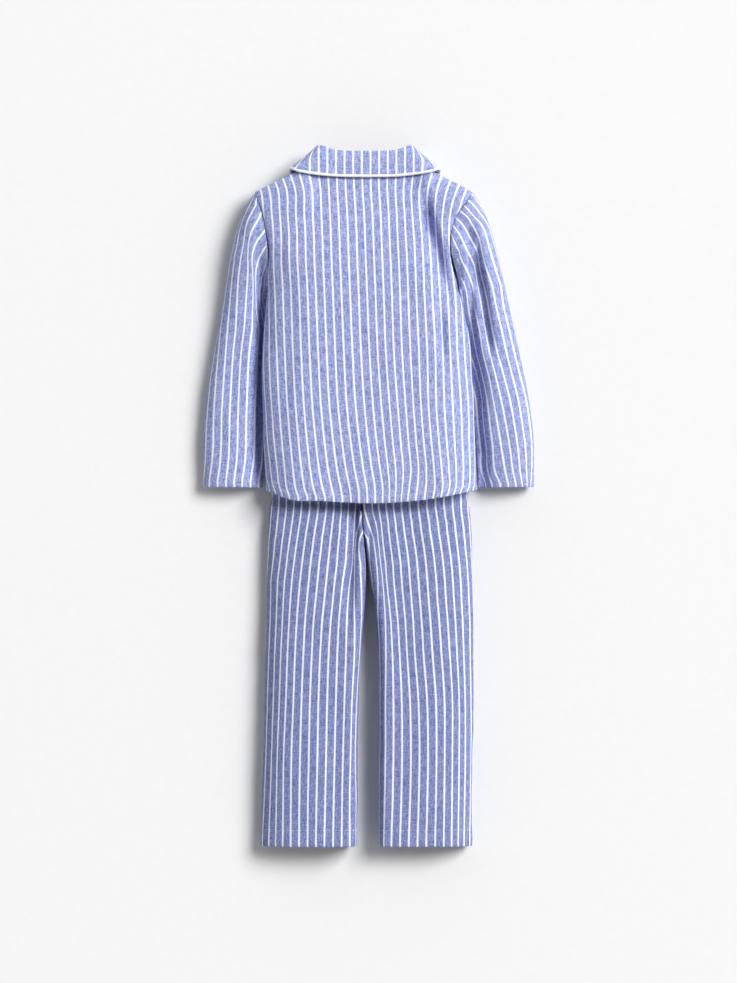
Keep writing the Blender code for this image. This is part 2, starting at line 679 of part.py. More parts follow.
def middle_wall(name, surface, grid, cloth, thickness):
    """A wall of this thickness, half on each side of a middle surface whose along runs from -1 to 1."""
    along = np.linspace(-1, 1, grid[0])
    shares = np.linspace(0, 1, grid[1])
    normals = outward(surface, along, shares, 1, -1)
    wall(name, surface(along, shares) + 0.5 * thickness * normals, normals, cloth, thickness)


def cord(name, path, radius, cloth):
    curve = bpy.data.curves.new(name, "CURVE")
    curve.dimensions = "3D"
    curve.bevel_depth = radius * MM
    curve.bevel_resolution = 1
    curve.use_fill_caps = True
    spline = curve.splines.new("POLY")
    spline.points.add(len(path) - 1)
    for point, place_at in zip(spline.points, path * MM):
        point.co = (*place_at, 1)
    place(name, curve, cloth)


def turned(name, profile, steps):
    """A mesh turned about Z from a profile of (radius, height) pairs, outer side from top to bottom."""
    mesh = bpy.data.meshes.new(name)
    points = [(radius * MM, 0, height * MM) for radius, height in profile]
    mesh.from_pydata(points, [(i, i + 1) for i in range(len(points) - 1)], [])
    made = bpy.data.objects.new(name, mesh)
    bpy.data.collections["cutters"].objects.link(made)
    screw = made.modifiers.new("turn", "SCREW")
    screw.steps = steps
    screw.render_steps = steps
    screw.use_merge_vertices = True
    screw.merge_threshold = 0.00001
    return made


def button_mesh():
    """One round four-hole button with a flat back, dished inside its rim.  Its face is down."""
    top = BUTTON_THICKNESS
    profile = [
        (0.0, top),
        (BUTTON_RADIUS - BUTTON_EDGE, top),
        (BUTTON_RADIUS, top - BUTTON_EDGE),
        (BUTTON_RADIUS - BUTTON_TAPER, 0.0),
        (BUTTON_RADIUS - BUTTON_RIM_WIDTH, BUTTON_DISH),
        (0.0, BUTTON_DISH),
    ]
    disc = turned("button_disc", profile, BUTTON_SIDES)
    for i in range(BUTTON_HOLES):
        angle = np.pi * (2 * i + 1) / BUTTON_HOLES
        across = BUTTON_HOLE_OFFSET * np.cos(angle) * MM
        up = BUTTON_HOLE_OFFSET * np.sin(angle) * MM
        bpy.ops.mesh.primitive_cylinder_add(
            vertices=5,
            radius=BUTTON_HOLE_RADIUS * MM,
            depth=4 * BUTTON_THICKNESS * MM,
            location=(across, up, 0),
        )
        hole = bpy.context.object
        hole.name = f"button_hole_{i + 1}"
        for home in list(hole.users_collection):
            home.objects.unlink(hole)
        bpy.data.collections["cutters"].objects.link(hole)
        hole.hide_render = True
        hole.display_type = "WIRE"
        cut = disc.modifiers.new("hole", "BOOLEAN")
        cut.object = hole
    graph = bpy.context.evaluated_depsgraph_get()
    mesh = bpy.data.meshes.new_from_object(disc.evaluated_get(graph))
    bpy.data.objects.remove(disc)
    mesh.shade_smooth()
    mesh.set_sharp_from_angle(angle=np.radians(35))
    return mesh


def buttons(plastic):
    mesh = button_mesh()
    mesh.materials.clear()
    mesh.materials.append(plastic)
    for i, y in enumerate(BUTTONS_Y):
        made = bpy.data.objects.new(f"button_{i + 1}", mesh)
        made.location = (COLLAR_MIDDLE * MM, y * MM, (FRONT_LIFT - SEAM - BUTTON_THICKNESS) * MM)
        bpy.data.collections["pyjama_set"].objects.link(made)


def build():
    for old in list(bpy.data.objects):
        bpy.data.objects.remove(old)
    for name in ("pyjama_set", "cutters"):
        bpy.context.scene.collection.children.link(bpy.data.collections.new(name))
    cloth = material("striped_flannel", (0.32, 0.38, 0.66), 0.95)
    white = material("white_piping", (0.85, 0.86, 0.88), 0.8)
    plastic = material("button_plastic", (0.8, 0.82, 0.86), 0.35)

    panel("jacket_back", jacket_back, BACK_GRID, 1, cloth)
    middle_wall("collar", collar, COLLAR_GRID, cloth, COLLAR_WALL)
    cord("collar_piping", piping_path(), PIPING_RADIUS, white)
    buttons(plastic)
    for side, sign in (("left", -1), ("right", 1)):
        panel("jacket_front_" + side, partial(jacket_front, side), FRONT_GRID, sign, cloth)
        tube("sleeve_" + side, sleeve(side, *SLEEVE_GRID), cloth)
        panel("trouser_back_" + side, partial(trouser_back, side), LEG_BACK_GRID, sign, cloth)
        panel("trouser_front_" + side, partial(trouser_front, side), LEG_FRONT_GRID, -sign, cloth)
    tube("waistband", waistband(*WAISTBAND_GRID), cloth)


build()
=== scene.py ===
"""Looks for the striped pyjama set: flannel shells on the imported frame, stitching, piping, buttons, light.

Surfaces are worked out in millimetres, as the frame's are, and turned into metres when a mesh is made.
Each cloth piece has a UV map, "cloth", in millimetres: across the stripes, and up from the piece's hem.
"""

import json

import bpy
import numpy as np
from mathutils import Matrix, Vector

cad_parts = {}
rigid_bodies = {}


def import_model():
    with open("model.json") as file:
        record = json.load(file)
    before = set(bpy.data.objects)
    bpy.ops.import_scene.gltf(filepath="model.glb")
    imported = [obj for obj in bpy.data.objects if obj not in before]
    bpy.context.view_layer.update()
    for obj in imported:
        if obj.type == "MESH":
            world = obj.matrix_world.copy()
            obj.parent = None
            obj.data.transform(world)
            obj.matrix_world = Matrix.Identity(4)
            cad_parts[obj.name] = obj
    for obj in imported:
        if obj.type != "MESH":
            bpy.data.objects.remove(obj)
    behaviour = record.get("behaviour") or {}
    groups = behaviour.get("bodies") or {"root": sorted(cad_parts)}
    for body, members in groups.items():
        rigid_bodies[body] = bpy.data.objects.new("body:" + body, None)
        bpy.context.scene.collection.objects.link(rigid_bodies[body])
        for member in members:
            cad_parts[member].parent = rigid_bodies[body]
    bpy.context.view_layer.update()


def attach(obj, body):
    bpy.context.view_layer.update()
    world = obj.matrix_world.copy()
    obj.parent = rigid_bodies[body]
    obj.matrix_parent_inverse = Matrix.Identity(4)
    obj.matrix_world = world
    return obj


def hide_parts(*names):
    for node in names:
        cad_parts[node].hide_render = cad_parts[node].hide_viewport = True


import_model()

MM = 0.001
WALL = 1.5
SEAM = 0.3
HEM_WALL = 2.6  # a turned-up hem is folded cloth
STRIPE_PITCH = 10.75
SAMPLES = 241
SEED = 7
SIDES = ("left", "right")
SIGN = {"left": -1, "right": 1}

# Rows and columns of each piece's grid
BACK_GRID = (200, 150)
FRONT_GRID = (130, 60)
SLEEVE_GRID = (150, 132)
COLLAR_GRID = (240, 44)
LEG_BACK_GRID = (230, 84)
LEG_FRONT_GRID = (150, 56)
WAISTBAND_GRID = (16, 200)
EDGE_SPARE = 0.0006  # keeps neighbouring pieces half a seam apart

# ---------------- the frame's own sizes

UNDERARM = 0.62
RIDGE = 0.84
NECK_SHARE = 0.56
NECK_RISE = 4.0
FRONT_NECK_DROP = 50.0
SIDE_REACH_BACK = 58.0
SIDE_REACH_FRONT = 26.0
CROWN = 2.0
NECK_BLEND = (NECK_SHARE - 0.12, NECK_SHARE + 0.04)
NECK_ROUND = 2.4
NECK_CENTRE_Y = 410.0
NECK_RADIUS = 52.0
NECK_OVAL = 1.15
PLACKET_HALF = 12.0
STRIP_HALF = PLACKET_HALF + 5.0
FRONT_LIFT = 3.8
LIFT_FADE = 26.0
LEAF_REACH = NECK_RADIUS + 52.0
LAP_FADE = (PLACKET_HALF + 2.0, PLACKET_HALF + 22.0)
LAP_MORE = 0.6
ARMHOLE_GAP = 2.5 * SEAM
ARMHOLE_ROWS = 60
OUTER_ROUND = 0.42
INNER_ROUND = {"left": 0.36, "right": 0.5}
UNDER_ROUND = 0.3
COLLAR_WALL = 1.3
ROLL_RADIUS = 1.3
COLLAR_MIDDLE = -2.0
RIGHT_HALF = {"roll": 0.93, "edge": 0.95}
NECK_TURN = 0.44
NECK_END = 0.96
NECK_INSIDE = 1.2
COLLAR_SEAM = 2 * SEAM
FALL_ARCH = 1.2
PIPING_RADIUS = 1.6
PIPING_CLEAR = PIPING_RADIUS + 0.5
PIPING_LOW = PIPING_RADIUS + 0.1
WAISTBAND_DEPTH = 24.0
WAIST_DRAW = 0.03
JACKET_COVER = (-66.0, -38.0)
CROTCH_Y = -76.0
OUTER_REACH = {"left": 66.0, "right": 46.0}
INNER_REACH = {"left": 15.0, "right": 10.0}
UNDER_REACH = 22.0
CREASE_END = 0.3

# ---------------- what only the looks have

# Pressed hems and seams
HEM_STITCH = {"jacket": 8.5, "cuff": 16.5, "trouser": 20.0}
HEM_STEP = 1.5  # the hem's double cloth ends this far to each side of its stitches
SAG_X = -95.0
SAG_REACH = 26.0
SAG_DEPTH = 5.6
SAG_TOP = 40.0
HEM_SWELL = 0.35
GROOVE_DEPTH = 0.45
GROOVE_HALF = 1.1
SEAM_DIP = 0.7
SEAM_REACH = 2.4
PUCKER_DEPTH = 0.7
SMALL_PUCKER_DEPTH = 0.3
RUMPLE = 0.32
RUMPLE_SQUASH = 0.6  # the waves are longer up the cloth than across it
ARMHOLE_LENGTH = 170
SIDE_LENGTH = 260
FOLD_END = 0.35
SIDE_WALL = 2.2  # how far in from a piece's edges its side walls reach
RIM_STEPS = 4
RIM_BULGE = 0.32

# Stripes
TABLE_SHIFT = 0.6  # added to every place in the tables of stripes
COLLAR_STRIPE_X = 2.5  # one white stripe of the fall runs here
COLLAR_STRIPE_FADE = (0.30, 0.44)  # past the shoulder seams the stripes keep to the collar's own length
FRONT_STRIPE_X = 3.0
LEG_FRONT_STRIPE = 116.0
WHITE_HALF = 1.15  # half a white stripe
WHITE_SOFT = 0.3

# Cloth, in linear colour
WEAVE = 0.9  # two threads
YARN_RANGE = (0.41, 0.59)
HUE_RANGE = (0.36, 0.64)
BLUES = (  # deep and light of each tint
    ((0.115, 0.195, 0.475), (0.405, 0.5, 0.785)),
    ((0.17, 0.18, 0.455), (0.485, 0.465, 0.765)),
)
# The trousers' flannel is a darker copy of the jacket's, in blues and whites alike: painted shade standing
# for less light on the trousers, with the blue a little bluer. The jacket's copy is not darkened.
JACKET_SHADE = (1.0, 1.0, 1.0)
JACKET_WHITE = (0.88, 0.89, 0.9)
TROUSER_PAINTED_SHADE = (0.67, 0.69, 0.74)
TROUSER_WHITE_IN_PAINTED_SHADE = (0.81, 0.82, 0.84)
DULL_WHITE = 0.86

# Piping and stitches
PIPING_SAMPLES = 420
PIPING_SIDES = 14
PIPING_SHARE = 0.97
PIPING_PLUMP = 1.16  # round the back of the neck, over what it has between the fronts and the floor
STITCH_STEP = 3.1
STITCH_LENGTH = 2.2
THREAD_RADIUS = 0.26
STITCH_RINGS = ((-0.5, 0.15, -0.3), (-0.32, 0.9, 0.05), (0.32, 0.9, 0.05), (0.5, 0.15, -0.3))
STITCH_SIDES = 6
COLLAR_STITCH = 4.5  # from the collar's outer edge
PLACKET_STITCH = 2 * PLACKET_HALF

# Stage, in metres
FLOOR_HALF = 3.0
FLOOR_DROP = 0.0003
CAMERA_Y = 0.00525
CAMERA_HEIGHT = 8.0
PICTURE_HEIGHT = 1.22875  # of floor, from the picture's bottom to its top
OUTLINE_HEIGHT = 0.015
SENSOR = 36.0
ROOM_WALLS = 1.0  # the studio is brighter low down than overhead
ROOM_TOP = 0.05
KEY_DISTANCE = 40.0
KEY_POWER = 19700.0
KEY_SIZE = 18.6
KEY_ELEVATION = np.radians(46.0)
KEY_BEARING = np.radians(33.0)  # from +X towards +Y

# ---------------- tables


def table(columns, *rows):
    """Rows of numbers as one array for each named column."""
    return dict(zip(columns.split(), np.array(rows, float).T))


SLEEVE_COLUMNS = "along outer_x outer_y inner_x inner_y outer_z inner_z height"
LEG_COLUMNS = "along y outer inner outer_z inner_back inner_front height"
CREASE_COLUMNS = "from_x from_y to_x to_y half_width depth"
FOLD_COLUMNS = "from_x from_y to_x to_y bow half_width depth"

TORSO = table(
    "along left middle right side_y centre_y side_back side_front height",
    (0, -128, 2, 136, 8, -9, 18, 18, 57),
    (0.1, -129.2, 2, 135, 36, 32, 22, 22, 57.5),
    (0.22, -131.6, 1, 133, 84, 84, 25, 25, 58),
    (0.35, -133.3, 0, 130, 144, 144, 27, 27, 59),
    (0.47, -131.8, -1, 126.5, 196, 196, 28, 28, 60),
    (0.57, -128.4, -1.5, 117.5, 238, 240, 28, 28, 60),
    (UNDERARM, -126.6, -2, 113.5, 258, 262, 27, 25, 60),
    (0.73, -125.6, -2, 102.3, 304, 310, 42, 8, 57.5),
    (RIDGE, -131, -2, 107.7, 345, 355, 41, 8, 50),
    (0.93, -138.5, -2, 123.8, 368, 386, 34, 14, 42),
    (1, -142, -2, 130, 379, 405, 25, 25, 35),
)

LEFT_SLEEVE = table(
    SLEEVE_COLUMNS,
    (0.07, -152, 362, -127.5, 253, 22, 23, 45),
    (0.16, -163, 336, -127.6, 246, 18, 15, 42),
    (0.26, -172, 300, -128.2, 232, 15, 10, 39),
    (0.38, -180.5, 248, -129.8, 206, 13, 8, 36),
    (0.54, -192, 183, -131.8, 164, 12, 6, 34),
    (0.7, -203, 119, -132, 112, 12, 6, 32),
    (0.85, -206.8, 68, -131.6, 65, 12, 6, 30),
    (1, -206.2, 11.5, -131.4, 11, 12, 10, 27),
)

RIGHT_SLEEVE = table(
    SLEEVE_COLUMNS,
    (0.07, 143, 358, 112.4, 253, 22, 31, 45),
    (0.16, 152.5, 334, 112.4, 246, 18, 28, 42),
    (0.26, 162.5, 298, 115.4, 232, 15, 20, 39),
    (0.38, 174.5, 248, 122, 206, 13, 10, 36),
    (0.54, 188.5, 183, 126.2, 164, 12, 8, 34),
    (0.7, 200.8, 119, 129.2, 112, 12, 8, 32),
    (0.85, 206.6, 68, 133.6, 65, 12, 10, 30),
    (1, 206.7, 11.5, 137, 11, 12, 10, 27),
)

SLEEVES = {"left": LEFT_SLEEVE, "right": RIGHT_SLEEVE}

LEFT_LEG = table(
    LEG_COLUMNS,
    (0, 100, -106, -1, 18, 32, 0, 33),
    (0.1, 50, -117, -5, 17, 32, 5, 33),
    (0.19, 0, -123, -9, 15, 32, 3, 33.5),
    (0.25, -30, -125.6, -8, 13, 33.5, 3, 35.5),
    (0.3, -56, -126.2, -5, 12, 34.5, 8, 39.2),
    (0.335, CROTCH_Y, -126.6, -3.2, 12, 27, 27, 40.5),
    (0.42, -120, -127.6, -3.4, 12, 27, 25, 42.5),
    (0.58, -205, -129.8, -9.8, 12, 27, 25, 45.5),
    (0.72, -280, -131.4, -12.4, 12, 27, 25, 47.5),
    (0.86, -360, -133.6, -13.2, 12, 26, 24, 47.5),
    (1, -437.2, -135.6, -14.6, 12, 22, 20, 45),
)

RIGHT_LEG = table(
    LEG_COLUMNS,
    (0, 100, 110, -0.6, 19, 32, 0, 34),
    (0.1, 50, 119.5, -4.6, 18, 32, 5, 34),
    (0.19, 0, 124.5, -8.6, 16, 32, 3, 34.5),
    (0.25, -30, 128, -7.6, 14, 33.5, 3, 35.5),
    (0.3, -56, 129.4, -4.6, 12.5, 34.5, 8, 38.2),
    (0.335, CROTCH_Y, 130, -2.6, 12, 27, 27, 39),
    (0.42, -120, 131.4, 4.6, 12, 27, 25, 41),
    (0.58, -205, 131.8, 12, 12, 27, 25, 42.5),
    (0.72, -280, 131.2, 13.2, 12, 27, 25, 43.5),
    (0.86, -360, 129.6, 12.8, 12, 26, 24, 42.5),
    (1, -437.2, 130, 12.4, 12, 22, 20, 41),
)

LEGS = {"left": LEFT_LEG, "right": RIGHT_LEG}

COLLAR = table(
    "along roll_x roll_y roll_z edge_x edge_y edge_z turn",
    (0, 0, 428.3, 36.5, 0, 400.5, 43, 90),
    (0.16, 35, 429.3, 35.5, 40, 401.3, 43, 94),
    (0.3, 57, 435.2, 33, 72, 404.5, 44.5, 106),
    (0.4, 63.5, 434.4, 27, 86, 407, 43.5, 126),
    (0.48, 67.5, 428, 20, 93, 409.5, 33, 172),
    (0.58, 67, 414, 11.5, 93, 403.5, 9.5, 222),
    (0.72, 58, 388, 5.6, 82, 370, 2, 260),
    (0.86, 35, 368, 3.8, 60, 342, 2, 270),
    (1, 4.4, 358.8, 3.4, 36, 316, 2, 270),
)

CREASES = {
    "jacket_back": table(
        CREASE_COLUMNS,
        (68, 392, 104, 214, 8, 3.4),
        (-40, 10, -22, -30, 10, 2),
        (-96, 300, -104, 120, 14, 1.8),
    ),
    "sleeve_left": table(
        CREASE_COLUMNS,
        (-127, 380, -138, -60, 10, 25),
        (-176, 250, -168, 70, 10, 1.6),
    ),
    "sleeve_right": table(
        CREASE_COLUMNS,
        (129, 345, 151, 180, 6, 12),
        (124, 262, 146, -60, 9, 16),
    ),
    "left": table(
        CREASE_COLUMNS,
        (-20, 30, -22, -170, 7, 8),
        (-74, -120, -70, -330, 12, 1.6),
    ),
    "right": table(
        CREASE_COLUMNS,
        (30, -70, 44, -250, 12, 2),
        (92, -180, 98, -400, 12, 1.6),
    ),
}

# Where chosen white stripes run: each column is a stripe, counted from the middle one.
TORSO_STRIPES = table(
    "y -11 -8 -4 0 4 8 11",
    (-2, -99, -65.5, -22.5, 17, 48.5, 89.5, 110.5),
    (9, -102.5, -69, -24, 17, 50, 91.5, 115.5),
    (32, -105, -73, -28.5, 14, 52, 90.5, 117.5),
    (63, -108, -76.5, -33, 10, 49.5, 87.5, 116.5),
    (107, -111.5, -80.5, -38, 5.5, 46, 84, 115),
    (182, -115, -84.5, -42, 0.5, 41, 82.5, 110),
    (257, -117.5, -87, -45, -2.5, 38.5, 78.5, 107),
    (294, -119, -89, -46.5, -4, 37, 77, 102.5),
    (326, -119, -89.5, -47.5, -5, 35.5, 75, 99.5),
    (351, -121, -91, -48.5, -6, 34.5, 73, 101),
    (382, -124.5, -92, -50, -8, 33, 73.5, 110),
    (400, -131, -98, -51, -8.5, 33.5, 78, 119),
)

SLEEVE_STRIPES = {
    "left": table(
        "y -2 -1 0 1 2 3 4",
        (19, -199.5, -189, -178.5, -168.3, -158.2, -148, -138),
        (38, -196.5, -186.2, -176, -165.7, -155.3, -145, -134.7),
        (107, -193.5, -183.5, -173.5, -163.2, -152.8, -142.5, -132),
        (182, -188, -178.5, -169, -159, -149, -139, -129),
        (211, -185.4, -176.2, -166.1, -155.5, -145.8, -137.7, -130.2),
        (230, -183.5, -174.6, -165.2, -154.1, -145.2, -140.4, -134.2),
        (248, -181.8, -173, -164.3, -152.9, -144.5, -141, -136.6),
        (270, -179.3, -171, -163, -151.4, -144.5, -141.4, -134),
        (285, -177.2, -169.2, -161.4, -150.8, -145.4, -140.2, -129.6),
        (300, -175, -167.2, -159.1, -150.8, -145.4, -135.2, -122.7),
        (316, -172.2, -164.1, -156.1, -149.8, -140.2, -124.4, -112),
        (333, -168.5, -161.4, -153.9, -144.5, -128, -115, -105),
        (344, -166, -158.9, -150.6, -138, -123, -110, -100),
        (362, -162, -151.8, -141, -131, -121, -111, -101),
    ),
    "right": table(
        "y -2 -1 0 1 2 3 4",
        (14, 164, 174, 183.5, 191.5, 197.5, 202, 208),
        (29, 157.5, 170.5, 180, 189, 197, 203, 209),
        (59, 154.5, 165.5, 176, 186, 195.5, 203.5, 210),
        (89, 151, 160.5, 171, 181.5, 191.5, 201, 209),
        (119, 147.5, 155, 165, 176, 186.5, 196.5, 205.5),
        (149, 141.5, 149.5, 158, 168.5, 179, 189, 198.5),
        (179, 134, 142, 150.5, 160, 171.5, 181.5, 191),
        (209, 128.5, 137.5, 145, 153.5, 165, 174.5, 184),
        (239, 123.5, 131, 140, 148.5, 158, 167.5, 178),
        (264, 118.5, 128.5, 135.5, 143, 153, 164, 172.5),
        (278, 110, 123.5, 133.5, 139.5, 148, 159.5, 169.5),
        (288, 106.5, 118, 131.5, 137.5, 144.5, 156.5, 167),
        (298, 104, 113.5, 126.5, 136.5, 142, 153.5, 164),
        (308, 101.5, 110, 121, 133.5, 140, 150.5, 161),
        (318, 96, 105.5, 116.5, 128, 138, 148, 157.5),
        (328, 91, 99.5, 111.5, 122.5, 134, 145, 154.5),
        (338, 83.5, 93.5, 103.5, 116.5, 128.5, 140, 149.5),
        (348, 76, 86, 96, 106.5, 122, 131, 142),
        (358, 66, 76, 86, 97, 109.5, 122, 134),
        (368, 53.5, 63.5, 73.5, 83.5, 96, 113, 124),
    ),
}

LEG_STRIPES = {
    "left": table(
        "y -6 -3 0 2 4 5 6",
        (-428, -133.5, -107.5, -76.5, -55.5, -34, -24, -14.5),
        (-379, -131, -107, -76, -54.5, -33.5, -24, -15.5),
        (-330, -129, -106.5, -75, -53.5, -32.5, -23, -17),
        (-254, -127, -103.5, -73.5, -52, -30.5, -21, -15),
        (-193, -125, -101.5, -71, -50, -28.5, -18, -11),
        (-155, -123.5, -99.5, -69, -47.5, -27.5, -18, -9),
        (-130, -123, -98, -66.5, -45, -26, -18.5, -9),
        (-105, -122.5, -96, -64, -42.5, -23.5, -18, -10),
        (-84, -120, -93.5, -62, -40, -20.5, -18, -11.5),
        (-64, -118, -91, -59.5, -38.5, -19.5, -17.5, -13),
        (-54, -117, -89.5, -58.5, -37.5, -19, -16.5, -12),
        (-44, -115.5, -88, -57, -36.5, -18.5, -15, -7.5),
        (-34, -114.5, -86.5, -55.5, -36, -18, -12, -4),
        (-24, -113.5, -85, -54, -35, -17.5, -10, 0),
        (-14, -112.5, -84, -53, -34.5, -17, -7, 4),
    ),
    "right": table(
        "y -6 -5 -4 -3 0 4 7",
        (-428, 2, 10, 18.5, 28, 60.5, 103, 126),
        (-379, 3, 11, 19.5, 29.5, 62, 103.5, 127),
        (-318, 4, 12, 20.5, 30.5, 63, 104, 128),
        (-254, 4, 12.5, 20.5, 30.5, 61.5, 104, 127.5),
        (-193, 4, 12.5, 21, 29, 57, 100.5, 126.5),
        (-155, 3, 11, 20.5, 27, 55, 98, 126),
        (-130, 3, 11, 19, 24.5, 53, 96, 125),
        (-105, 3, 11, 17, 22, 51, 94.5, 124),
        (-84, 1, 9.5, 14.5, 20.5, 49.5, 92.5, 122.5),
        (-64, 0, 7, 12.5, 18, 47, 90, 120.5),
        (-54, -1, 5.5, 11.5, 17, 45.5, 88.5, 119.5),
        (-44, -7.5, 2.5, 10.5, 16, 44, 87, 118.5),
        (-34, -12, -1, 8.5, 15, 43, 86, 117.5),
        (-24, -15, -4, 5.5, 13.5, 41.5, 84.5, 116),
        (-14, -18, -6, 4, 12, 40.5, 83, 115),
    ),
}

# Soft troughs (positive depth) and ridges (negative), on top of the frame's own creases
FOLDS = {
    "jacket_back": table(
        FOLD_COLUMNS,
        (65, 394, 110, 212, 0.5, 5, 8.5),
        (85, 330, 95, 140, -2, 5, 7),
        (72, 388, 80, 272, 1, 4.5, 5),
        (100, 200, 120, 24, -6, 9, 1.2),
        (104, 352, 112, 282, 2, 4, -0.7),
        (-108, 352, -112, 250, -3, 5, 1),
        (-96, 330, -86, 250, 4, 9, -0.7),
        (-100, 250, -108, 60, -4, 8, 0.9),
        (-60, 120, -76, 10, 5, 14, 0.7),
        (-30, 60, -28, -12, 4, 7, 0.9),
        (-12, 52, -14, -10, -3, 6, -0.6),
        (36, 60, 56, -4, 4, 9, 0.8),
        (74, 70, 92, 0, -4, 8, -0.7),
        (-70, 384, -64, 300, -6, 15, 0.6),
        (30, 360, 44, 230, 8, 18, 0.6),
        (-20, 350, -6, 170, -6, 20, 0.5),
        (10, 200, -4, 60, 6, 18, 0.5),
    ),
    "jacket_front": table(
        FOLD_COLUMNS,
        (-92, 300, -84, 150, 5, 10, 0.6),
        (-60, 150, -72, 30, -4, 9, 0.5),
        (-104, 140, -98, 40, 3, 7, 0.5),
        (88, 310, 78, 190, -5, 10, 0.6),
        (58, 170, 74, 40, 4, 10, 0.5),
        (106, 130, 100, 30, -3, 7, 0.5),
    ),
    "sleeve_left": table(
        FOLD_COLUMNS,
        (-146, 350, -158, 262, -3, 5, 0.5),
        (-154, 330, -170, 236, 3, 6, -0.6),
        (-164, 262, -160, 120, 5, 9, 0.8),
        (-190, 170, -184, 40, -3, 7, 0.8),
        (-150, 150, -152, 30, 3, 8, 0.9),
        (-176, 120, -172, 18, 3, 6, -0.6),
    ),
    "sleeve_right": table(
        FOLD_COLUMNS,
        (124, 352, 139, 250, 1.5, 4, 6),
        (137, 306, 151, 160, -2, 4.5, 7),
        (127, 318, 129, 196, -1, 4, 6.5),
        (130, 318, 138, 190, 0, 4, -1),
        (160, 262, 178, 160, -4, 6, 0.5),
        (168, 190, 186, 60, 4, 8, 0.9),
        (176, 110, 184, 20, -3, 6, -0.6),
    ),
    "left": table(
        FOLD_COLUMNS,
        (-19, 30, -15, -104, -2, 4, 3.6),
        (-22, -20, -23, -200, 2, 4.5, 2.6),
        (-175, 2, 45, -20, 0, 9, 5.5),
        (-5, -34, -14, -50, 1, 1.6, 1),
        (-4, -46, -13, -62, -1, 1.8, 1.1),
        (-4, -58, -12, -76, 1, 1.8, 0.9),
        (-52, -20, -66, -110, -4, 10, 0.7),
        (-92, -20, -104, -130, -4, 10, 0.8),
        (-44, -140, -52, -300, 5, 10, 0.8),
        (-98, -160, -96, -330, -5, 12, 0.8),
        (-34, -250, -40, -400, 4, 8, 0.8),
        (-80, -300, -86, -432, -4, 9, 0.7),
        (-60, -340, -56, -434, 3, 7, -0.5),
    ),
    "right": table(
        FOLD_COLUMNS,
        (6, 0, 3, -80, 2, 4, 1.8),
        (-45, -20, 175, 2, 0, 9, 5.5),
        (14, -40, 24, -140, -3, 6, 1.4),
        (0, -44, 9, -58, 1, 1.8, 0.9),
        (54, -20, 66, -110, 4, 11, 0.7),
        (88, -20, 104, -140, 4, 10, 0.8),
        (52, -150, 62, -310, -5, 10, 0.8),
        (104, -150, 112, -300, 4, 8, 0.8),
        (40, -260, 42, -400, 4, 9, 0.7),
        (84, -310, 82, -434, 3, 9, 0.8),
    ),
}

# ---------------- curves and numbers


def cubic(f, rise, start, end):
    """How far a curve has risen at share f of its step, from its slopes at the two ends."""
    return f * (start + f * (3 * rise - 2 * start - end + f * (start + end - 2 * rise)))


def follow(rows, column, at, key="along"):
    """The column's value at these places, on a smooth curve through the table's rows."""
    keys = rows[key]
    values = rows[column] if isinstance(column, str) else column
    slopes = np.gradient(values, keys, axis=0)
    at = np.asarray(at, float)
    i = np.clip(np.searchsorted(keys, at, side="right") - 1, 0, len(keys) - 2)
    span = keys[i + 1] - keys[i]
    f = (at - keys[i]) / span
    if values.ndim > 1:
        shape = f.shape + (1,) * (values.ndim - 1)
        f, span = f.reshape(shape), span.reshape(shape)
    return values[i] + cubic(f, values[i + 1] - values[i], slopes[i] * span, slopes[i + 1] * span)


def ease(value, low, high):
    """0 below low, 1 above high, and smooth between them."""
    share = np.clip((value - low) / (high - low), 0, 1)
    return share * share * (3 - 2 * share)


def mix(a, b, share):
    return a + (b - a) * share


def bump_at(value, centre, half_width):
    return np.exp(-(((value - centre) / half_width) ** 2))


def corner(distance, reach):
    """How far a rounded edge has turned: 1 at the edge, 0 at reach inside it."""
    inside = np.clip(1 - distance / reach, 0, 1)
    return 1 - np.sqrt(1 - inside**2)


def joined(x, y, z):
    return np.stack(np.broadcast_arrays(x, y, z), axis=-1)


def unit(vectors):
    return vectors / np.linalg.norm(vectors, axis=-1, keepdims=True)


def close(ring):
    """A ring with its first column again at the end."""
    return np.concatenate([ring, ring[:, :1]], axis=1)


def arc(points, axis):
    """Length along the grid's rows (axis 1) or columns (axis 0), starting at 0."""
    steps = np.linalg.norm(np.diff(points, axis=axis), axis=2)
    start = np.zeros_like(np.take(steps, [0], axis=axis))
    return np.concatenate([start, np.cumsum(steps, axis=axis)], axis=axis)


def even(lines, shares):
    """The points at these shares of each line's length.  lines is (rows, samples, 3)."""
    reach = arc(lines, 1)
    reach /= reach[:, -1:]
    points = [[np.interp(shares, r, line[:, k]) for k in range(3)] for r, line in zip(reach, lines)]
    return np.array(points).transpose(0, 2, 1)


def crowded(low, high, count=SAMPLES):
    """Numbers from low to high, closer together towards both ends."""
    return mix(low, high, (1 - np.cos(np.linspace(0, np.pi, count))) / 2)


def beside(x, y, x0, y0, x1, y1):
    """How far along a line these places are, as a share, how far beside it, and the line's length."""
    length = np.hypot(x1 - x0, y1 - y0)
    along = ((x - x0) * (x1 - x0) + (y - y0) * (y1 - y0)) / length**2
    across = ((x - x0) * (y1 - y0) - (y - y0) * (x1 - x0)) / length
    return along, across, length


def tapered(along, reach):
    return ease(along, 0, reach) * ease(1 - along, 0, reach)


def crease(name, x, y):
    """How deep the frame's creases of this piece are at these places."""
    depth = np.zeros(np.broadcast(x, y).shape)
    for *line, half_width, deep in zip(*CREASES[name].values()):
        along, across, _ = beside(x, y, *line)
        depth = depth + deep * tapered(along, CREASE_END) * bump_at(across, 0, half_width)
    return depth


# ---------------- the frame's surfaces


def over_ridge(along, across, turn):
    """along, with what is past the shoulder's ridge turned over it beside the neck's opening."""
    beyond = np.clip((along - RIDGE) / (1 - RIDGE), 0, 1)
    turned = mix(beyond, turn(beyond * np.pi / 2), ease(np.abs(across), *NECK_BLEND))
    return np.where(along > RIDGE, RIDGE + (1 - RIDGE) * turned, along)


